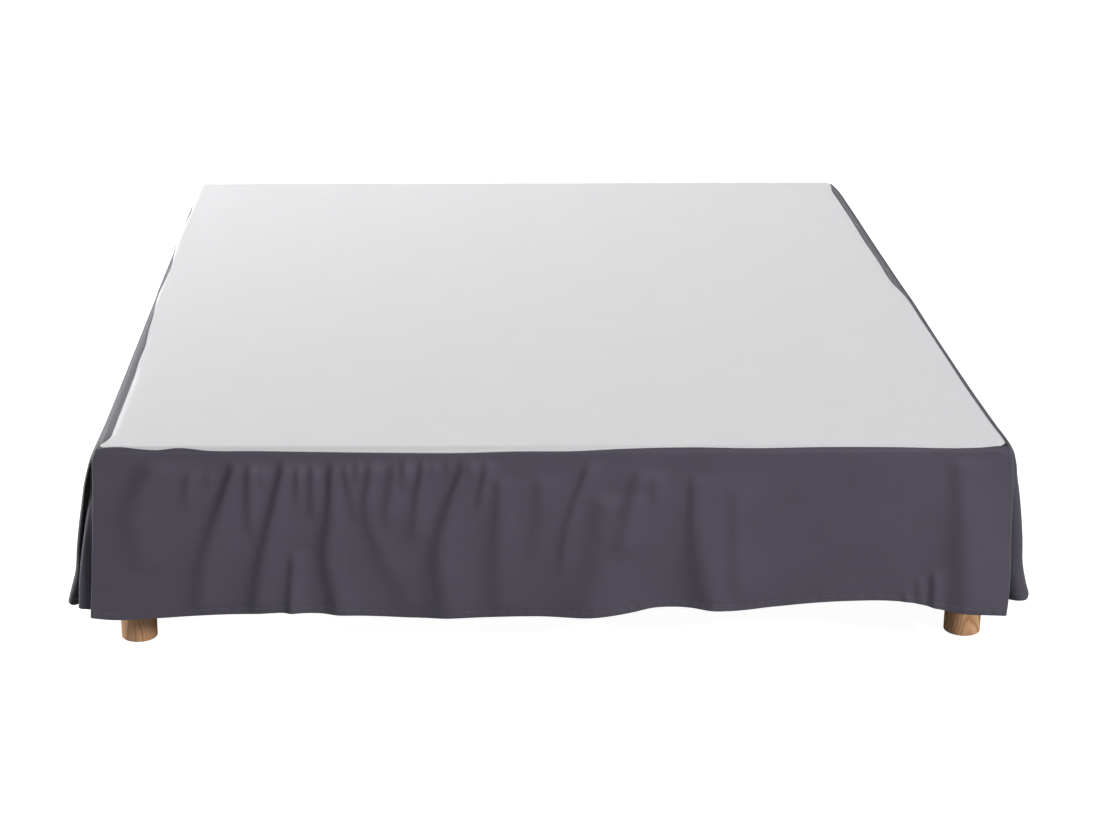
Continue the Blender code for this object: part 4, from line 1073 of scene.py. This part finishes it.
def cloth_material(name, cloth, **shader):
    """Woven cloth on the piece's own cloth coordinates, slightly worn along its edges, with a painted
    shade at the front ends of the side drops and at the inner parts of the pleats.
    """
    material, tree = new_material(name, **shader)
    place = node(tree, "ShaderNodeUVMap", {"uv_map": "cloth"}).outputs["UV"]
    weave = place_group(tree, WEAVE, Vector=place, Threads=cloth.threads, Slub=cloth.slub)
    mottle = place_group(tree, MOTTLE, Vector=place)
    tone = blend(tree, weave["Tone"], mottle["Mask"], share=0.6)
    body = mix_colour(tree, tone, cloth.dark, cloth.light)
    # Painted shade: the front ends of the side drops and the inner parts of the pleats are mixed toward
    # the sheltered colour, standing in for the shade in the corner recesses.
    end_shade = place_group(tree, PAINTED_SHADE_GROUP, Vector=place, Start=PAINTED_SHADE_START, Run=PAINTED_SHADE_RUN)
    body = mix_colour(tree, end_shade["Mask"], body, cloth.sheltered)
    edge = node(tree, "ShaderNodeAttribute", {"attribute_name": "edge"}).outputs["Fac"]
    worn = maths(tree, "MULTIPLY", edge, maths(tree, "ADD", weave["Tone"], WEAR_EVEN))
    surface(tree, mix_colour(tree, worn, body, cloth.worn), height=weave["Height"], distance=cloth.bump)
    return material


def ticking_material(name):
    """Light grey ticking, a coarser weave on the block's own coordinates."""
    material, tree = new_material(name, Roughness=0.85)
    place = object_place(tree)
    axes = split(tree, place)
    around = maths(tree, "ADD", axes["X"], axes["Y"])
    wall = node(tree, "ShaderNodeCombineXYZ", X=around, Y=axes["Z"]).outputs[0]
    weave = place_group(tree, WEAVE, Vector=wall, Threads=1100.0, Slub=0.8)
    mottle = place_group(tree, MOTTLE, Vector=place, Scale=6.0)
    tone = blend(tree, weave["Tone"], mottle["Mask"], share=0.7)
    surface(tree, mix_colour(tree, tone, TICKING_DARK, TICKING_PALE),
            height=weave["Height"], strength=0.8, distance=0.0002)
    return material


def thread_material(name, colour):
    """Sewing thread: two twisted tones along the seam."""
    material, tree = new_material(name, Roughness=0.55)
    twist = noise(tree, object_place(tree), detail=1.0, scale=900.0)
    surface(tree, mix_colour(tree, twist, tuple(THREAD_SHADE * c for c in colour), colour))
    return material


def oak_material(name, pith, turn):
    """Oiled oak. `pith` is the middle of the log on the plan, and `turn` tips it for another figure."""
    material, tree = new_material(name, Roughness=0.48, Specular_IOR_Level=0.4)
    log = node(tree, "ShaderNodeMapping", {"vector_type": "TEXTURE"}, Vector=object_place(tree),
               Location=(*pith, 0.0), Rotation=turn)
    grain = place_group(tree, OAK, Vector=log.outputs[0])
    early = mix_colour(tree, grain["Tone"], OAK_EARLY_DARK, OAK_EARLY_PALE)
    late = mix_colour(tree, grain["Ring"], early, OAK_LATE)
    pores = maths(tree, "MULTIPLY", grain["Pore"], OAK_PORE_SHARE)
    surface(tree, mix_colour(tree, pores, late, OAK_PORE),
            height=maths(tree, "SUBTRACT", 1.0, grain["Pore"]), strength=0.5, distance=0.0003)
    return material


# The charcoal's sheltered is near black, a painted shade for the corner recesses; the white lining's is
# close to its own colour.
CHARCOAL = cloth_material(
    "charcoal_weave",
    Cloth(dark=(0.083, 0.073, 0.102), light=(0.104, 0.092, 0.127), worn=(0.114, 0.104, 0.136),
          sheltered=(0.014, 0.012, 0.017), threads=1700.0, slub=0.7, bump=0.00012),
    Roughness=0.62, Specular_IOR_Level=0.38, Sheen_Weight=0.34, Sheen_Roughness=0.35)
WHITE = cloth_material(
    "white_lining",
    Cloth(dark=(0.785, 0.785, 0.8), light=(0.81, 0.81, 0.826), worn=(0.83, 0.83, 0.84),
          sheltered=(0.8, 0.8, 0.815), threads=2000.0, slub=0.4, bump=0.00008),
    Roughness=0.8, Specular_IOR_Level=0.25, Sheen_Weight=0.05, Sheen_Roughness=0.5)
DARK_THREAD = thread_material("charcoal_thread", (0.16, 0.15, 0.18))


# ---- base and legs, modelled as by hand ----
SAME_LEVEL = 1e-5            # points this near a height lie on it
# Edges that turn by more than this stay sharp.
COVER_SHARP = math.radians(40)
LEG_SHARP = math.radians(50)
CORNER_SEGMENTS = 10
RIM_SEGMENTS = 5
BASE_TOP_ROUNDING = 0.012
BASE_FOOT_ROUNDING = 0.01
PIPING_RADIUS = 0.003
PIPING_INSET = 0.002
PIPING_UP = 0.014            # lower cord, over the foot of the base
PIPING_DOWN = 0.016          # upper cord, under its top
PIPING_STEPS = 8             # steps of a cord round each corner
PIPING_SMOOTH = 3            # how finely a cord is rounded
LEG_SIDES = 64
LEG_EASE = 0.0022
LEG_TOP_EASE = LEG_EASE / 3
LEG_EASE_SEGMENTS = 4


def deselect():
    """Nothing selected."""
    bpy.ops.object.select_all(action="DESELECT")


def named(name):
    """Name the piece that was just added, and its mesh."""
    piece = bpy.context.object
    piece.name = name
    piece.data.name = name
    return piece


def bevel_edges(piece, keep, width, segments):
    """In edit mode, round off the edges that `keep` accepts."""
    shape = bmesh.from_edit_mesh(piece.data)
    bpy.ops.mesh.select_all(action="DESELECT")
    bpy.ops.mesh.select_mode(type="EDGE")
    for edge in shape.edges:
        edge.select_set(bool(keep(edge)))
    bmesh.update_edit_mesh(piece.data)
    bpy.ops.mesh.bevel(offset=width, segments=segments, affect="EDGES")


def bevel_level(piece, level, width, segments):
    """In edit mode, round off the edges that lie at one height."""
    bevel_edges(piece, lambda edge: all(abs(v.co.z - level) < SAME_LEVEL for v in edge.verts),
                width, segments)


def base_block():
    """The upholstered block, with rounded corners and rims."""
    deselect()
    size = BASE_HIGH - BASE_LOW
    bpy.ops.mesh.primitive_cube_add(size=1.0, location=(0.0, 0.0, 0.0))
    block = named("base_cover")
    bpy.ops.object.mode_set(mode="EDIT")
    bpy.ops.transform.resize(value=tuple(size))
    bpy.ops.transform.translate(value=tuple((BASE_LOW + BASE_HIGH) / 2))
    bevel_edges(block, lambda edge: abs(edge.verts[0].co.z - edge.verts[1].co.z) > size.z / 2,
                CORNER_RADIUS - BASE_INSET, CORNER_SEGMENTS)
    bevel_level(block, BASE_HIGH.z, BASE_TOP_ROUNDING, RIM_SEGMENTS)
    bevel_level(block, BASE_LOW.z, BASE_FOOT_ROUNDING, RIM_SEGMENTS)
    bpy.ops.object.mode_set(mode="OBJECT")
    block.data.shade_smooth()
    block.data.set_sharp_from_angle(angle=COVER_SHARP)
    return block


def piping(name, level):
    """A cord sewn round the base at one height."""
    inset = BASE_INSET + PIPING_INSET
    radius = CORNER_RADIUS - inset
    corner_x, corner_y = HALF_WIDTH - inset - radius, HALF_LENGTH - inset - radius
    points = []
    for sign_x, sign_y, first in ((1, -1, -90), (1, 1, 0), (-1, 1, 90), (-1, -1, 180)):
        for step in range(PIPING_STEPS + 1):
            angle = math.radians(first + 90 * step / PIPING_STEPS)
            points.append((sign_x * corner_x + radius * math.cos(angle),
                           sign_y * corner_y + radius * math.sin(angle), level))
    cord = bpy.data.curves.new(name, "CURVE")
    cord.dimensions = "3D"
    spline = cord.splines.new("POLY")
    spline.points.add(len(points) - 1)
    for point, place in zip(spline.points, points):
        point.co = (*place, 1.0)
    spline.use_cyclic_u = True
    cord.bevel_depth = PIPING_RADIUS
    cord.bevel_resolution = PIPING_SMOOTH
    line = new_object(name, cord)
    deselect()
    bpy.context.view_layer.objects.active = line
    line.select_set(True)
    bpy.ops.object.convert(target="MESH")
    piece = bpy.context.object
    piece.data.shade_smooth()
    return piece


def leg_piece(node_name):
    """A turned leg on its frame node's own place: a fine cylinder with an eased foot."""
    low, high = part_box(node_name)
    deselect()
    bpy.ops.mesh.primitive_cylinder_add(vertices=LEG_SIDES, radius=(high.x - low.x) / 2,
                                        depth=high.z - low.z, location=(low + high) / 2)
    leg = named(node_name.replace("leg", "oak_leg"))
    bpy.ops.object.transform_apply(location=True, rotation=True, scale=True)
    bpy.ops.object.mode_set(mode="EDIT")
    bevel_level(leg, low.z, LEG_EASE, LEG_EASE_SEGMENTS)
    bevel_level(leg, high.z, LEG_TOP_EASE, LEG_EASE_SEGMENTS)
    bpy.ops.object.mode_set(mode="OBJECT")
    leg.data.shade_smooth()
    leg.data.set_sharp_from_angle(angle=LEG_SHARP)
    return leg


# ---- the skirt ----
def fit(piece, material, node_name=None):
    """Give a piece its material and body, and hide the frame node that it takes the place of."""
    piece.data.materials.append(material)
    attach(piece, "root")
    if node_name:
        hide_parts(node_name)
    return piece


# Name, surface, half of its straight length, whether its grid is turned, and its cut.
DROPS = (
    ("front", FrontDrop(), STRAIGHT_X, True, FRONT_CUT),
    ("left", SideDrop(LEFT, LEFT_DROP_PLAN, LEFT_FLARE, LEFT_FOLDS, LEFT_DEPTH, LEFT_TUCK, LEFT_LIFT_AT),
     STRAIGHT_Y, False, SIDE_CUT),
    ("right", SideDrop(RIGHT, RIGHT_DROP_PLAN, RIGHT_FLARE, RIGHT_FOLDS, RIGHT_DEPTH, RIGHT_TUCK,
                       RIGHT_LIFT_AT),
     STRAIGHT_Y, True, SIDE_CUT),
)
drop_cloths = [
    fit(hung_sheet(name + "_drop_cloth", drop, drop_columns(straight), turned),
        CHARCOAL, name + "_drop")
    for name, drop, straight, turned, _ in DROPS]
for (name, drop, _, turned, cut), cloth_piece in zip(DROPS, drop_cloths):
    stitches = fit(hem_stitches(name + "_hem_stitches", drop, turned), DARK_THREAD)

for name, hand, plan, flare in (
        ("left", -1, LEFT_PLEAT_PLAN, LEFT_PLEAT_FLARE),
        ("right", 1, RIGHT_PLEAT_PLAN, RIGHT_PLEAT_FLARE)):
    columns = np.linspace(0.0, plan[-1].cloth, PLEAT_COLUMNS)
    # The pleat's cloth coordinates start so that its part behind the front drop gets the full painted
    # shade, which fades out towards its nose.
    piece = hung_sheet(name + "_pleat_cloth", CornerPleat(plan, flare, hand), columns, hand > 0,
                       uv_start=PAINTED_SHADE_START - PLEAT_SPLIT, side_hems=False)
    fit(piece, CHARCOAL, name + "_corner_pleat")

platform = fit(platform_object(), WHITE, "platform")

# ---- the base ----
TICKING = ticking_material("grey_ticking")
fit(base_block(), TICKING, "box_spring")
fit(piping("base_piping_low", BASE_LOW.z + PIPING_UP), TICKING)
fit(piping("base_piping_high", BASE_HIGH.z - PIPING_DOWN), TICKING)

# Each leg's way to the middle of its log, and how the log is turned.
for node_name, shift, turn in (
        ("leg_front_left", (0.055, 0.060), (0.05, -0.04, 0.3)),
        ("leg_front_right", (-0.012, 0.052), (0.16, 0.03, 0.1)),
        ("leg_rear_left", (0.040, -0.070), (-0.06, 0.05, 0.8)),
        ("leg_rear_right", (-0.050, -0.045), (0.08, 0.06, 0.5))):
    low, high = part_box(node_name)
    middle = (low + high) / 2
    leg = leg_piece(node_name)
    wood = oak_material(leg.name + "_wood", (middle.x + shift[0], middle.y + shift[1]), turn)
    fit(leg, wood, node_name)


# ---- floor, light and camera ----
FLOOR_SIZE = 40.0
FLOOR_DARK = (0.54, 0.54, 0.54)
FLOOR_PALE = (0.57, 0.57, 0.57)
FLOOR_GLOW = 0.95
WORLD_LIGHT = 0.03
BACKDROP = 1.1
CAMERA_PLACE = (-0.1966, -4.9534, 1.8068)
CAMERA_DOWN = math.radians(18.748)
CAMERA_ROLL = -0.0025
CAMERA_LENS = 78.785
CAMERA_SENSOR = 36.0
CAMERA_SHIFT = 0.10083
CAMERA_FAR = 60.0

Lamp = namedtuple("Lamp", "name place aim size power")

LAMPS = table(
    Lamp,
    ("key_back_left", (-4.8, 4.2, 3.5), (-0.4, 0.2, 0.4), 2.6, 310.0),
    ("side_left", (-4.4, 0.5, 0.75), (-0.8, -0.2, 0.3), 1.2, 125.0),
    ("front_right", (6.6, -7.4, 5.6), (0.0, -0.8, 0.3), 2.6, 930.0),
    ("soft_top", (0.0, 2.6, 4.0), (0.0, 0.2, 0.4), 3.0, 56.0),
)


def floor():
    """A wide pale floor that looks white where it is seen."""
    deselect()
    bpy.ops.mesh.primitive_plane_add(size=FLOOR_SIZE, location=(0.0, 0.0, 0.0))
    ground = named("floor")
    material, tree = new_material(
        "pale_floor", Roughness=0.9, Specular_IOR_Level=0.1, Emission_Color=(1.0, 1.0, 1.0, 1.0))
    mottle = place_group(tree, MOTTLE, Vector=object_place(tree), Scale=1.2)
    surface(tree, mix_colour(tree, mottle["Mask"], FLOOR_DARK, FLOOR_PALE))
    seen = node(tree, "ShaderNodeLightPath").outputs["Is Camera Ray"]
    feed_all(tree, tree.nodes["Principled BSDF"],
             Emission_Strength=maths(tree, "MULTIPLY", seen, FLOOR_GLOW))
    ground.data.materials.append(material)


def lighting():
    """The lamps, a little light from all around, and a white backdrop."""
    for lamp in LAMPS:
        light = bpy.data.lights.new(lamp.name, "AREA")
        light.shape = "DISK"
        light.size = lamp.size
        light.energy = lamp.power
        holder = new_object(lamp.name, light)
        holder.location = lamp.place
        aim = Vector(lamp.aim) - Vector(lamp.place)
        holder.rotation_euler = aim.to_track_quat("-Z", "Y").to_euler()
    world = bpy.data.worlds.new("studio")
    bpy.context.scene.world = world
    world.use_nodes = True
    tree = world.node_tree
    seen = node(tree, "ShaderNodeLightPath").outputs["Is Camera Ray"]
    feed_all(tree, tree.nodes["Background"], Color=(1.0, 1.0, 1.0, 1.0),
             Strength=ranged(tree, seen, To_Min=WORLD_LIGHT, To_Max=BACKDROP))
    bpy.context.scene.view_settings.view_transform = "Standard"


def camera():
    """The camera."""
    lens = bpy.data.cameras.new("camera")
    lens.lens = CAMERA_LENS
    lens.sensor_width = CAMERA_SENSOR
    lens.shift_x = CAMERA_SHIFT
    lens.clip_end = CAMERA_FAR
    eye = new_object("camera", lens)
    turn = Matrix.Rotation(math.pi / 2 - CAMERA_DOWN, 4, "X") @ Matrix.Rotation(CAMERA_ROLL, 4, "Z")
    eye.matrix_world = Matrix.Translation(CAMERA_PLACE) @ turn
    bpy.context.scene.camera = eye


floor()
lighting()
camera()
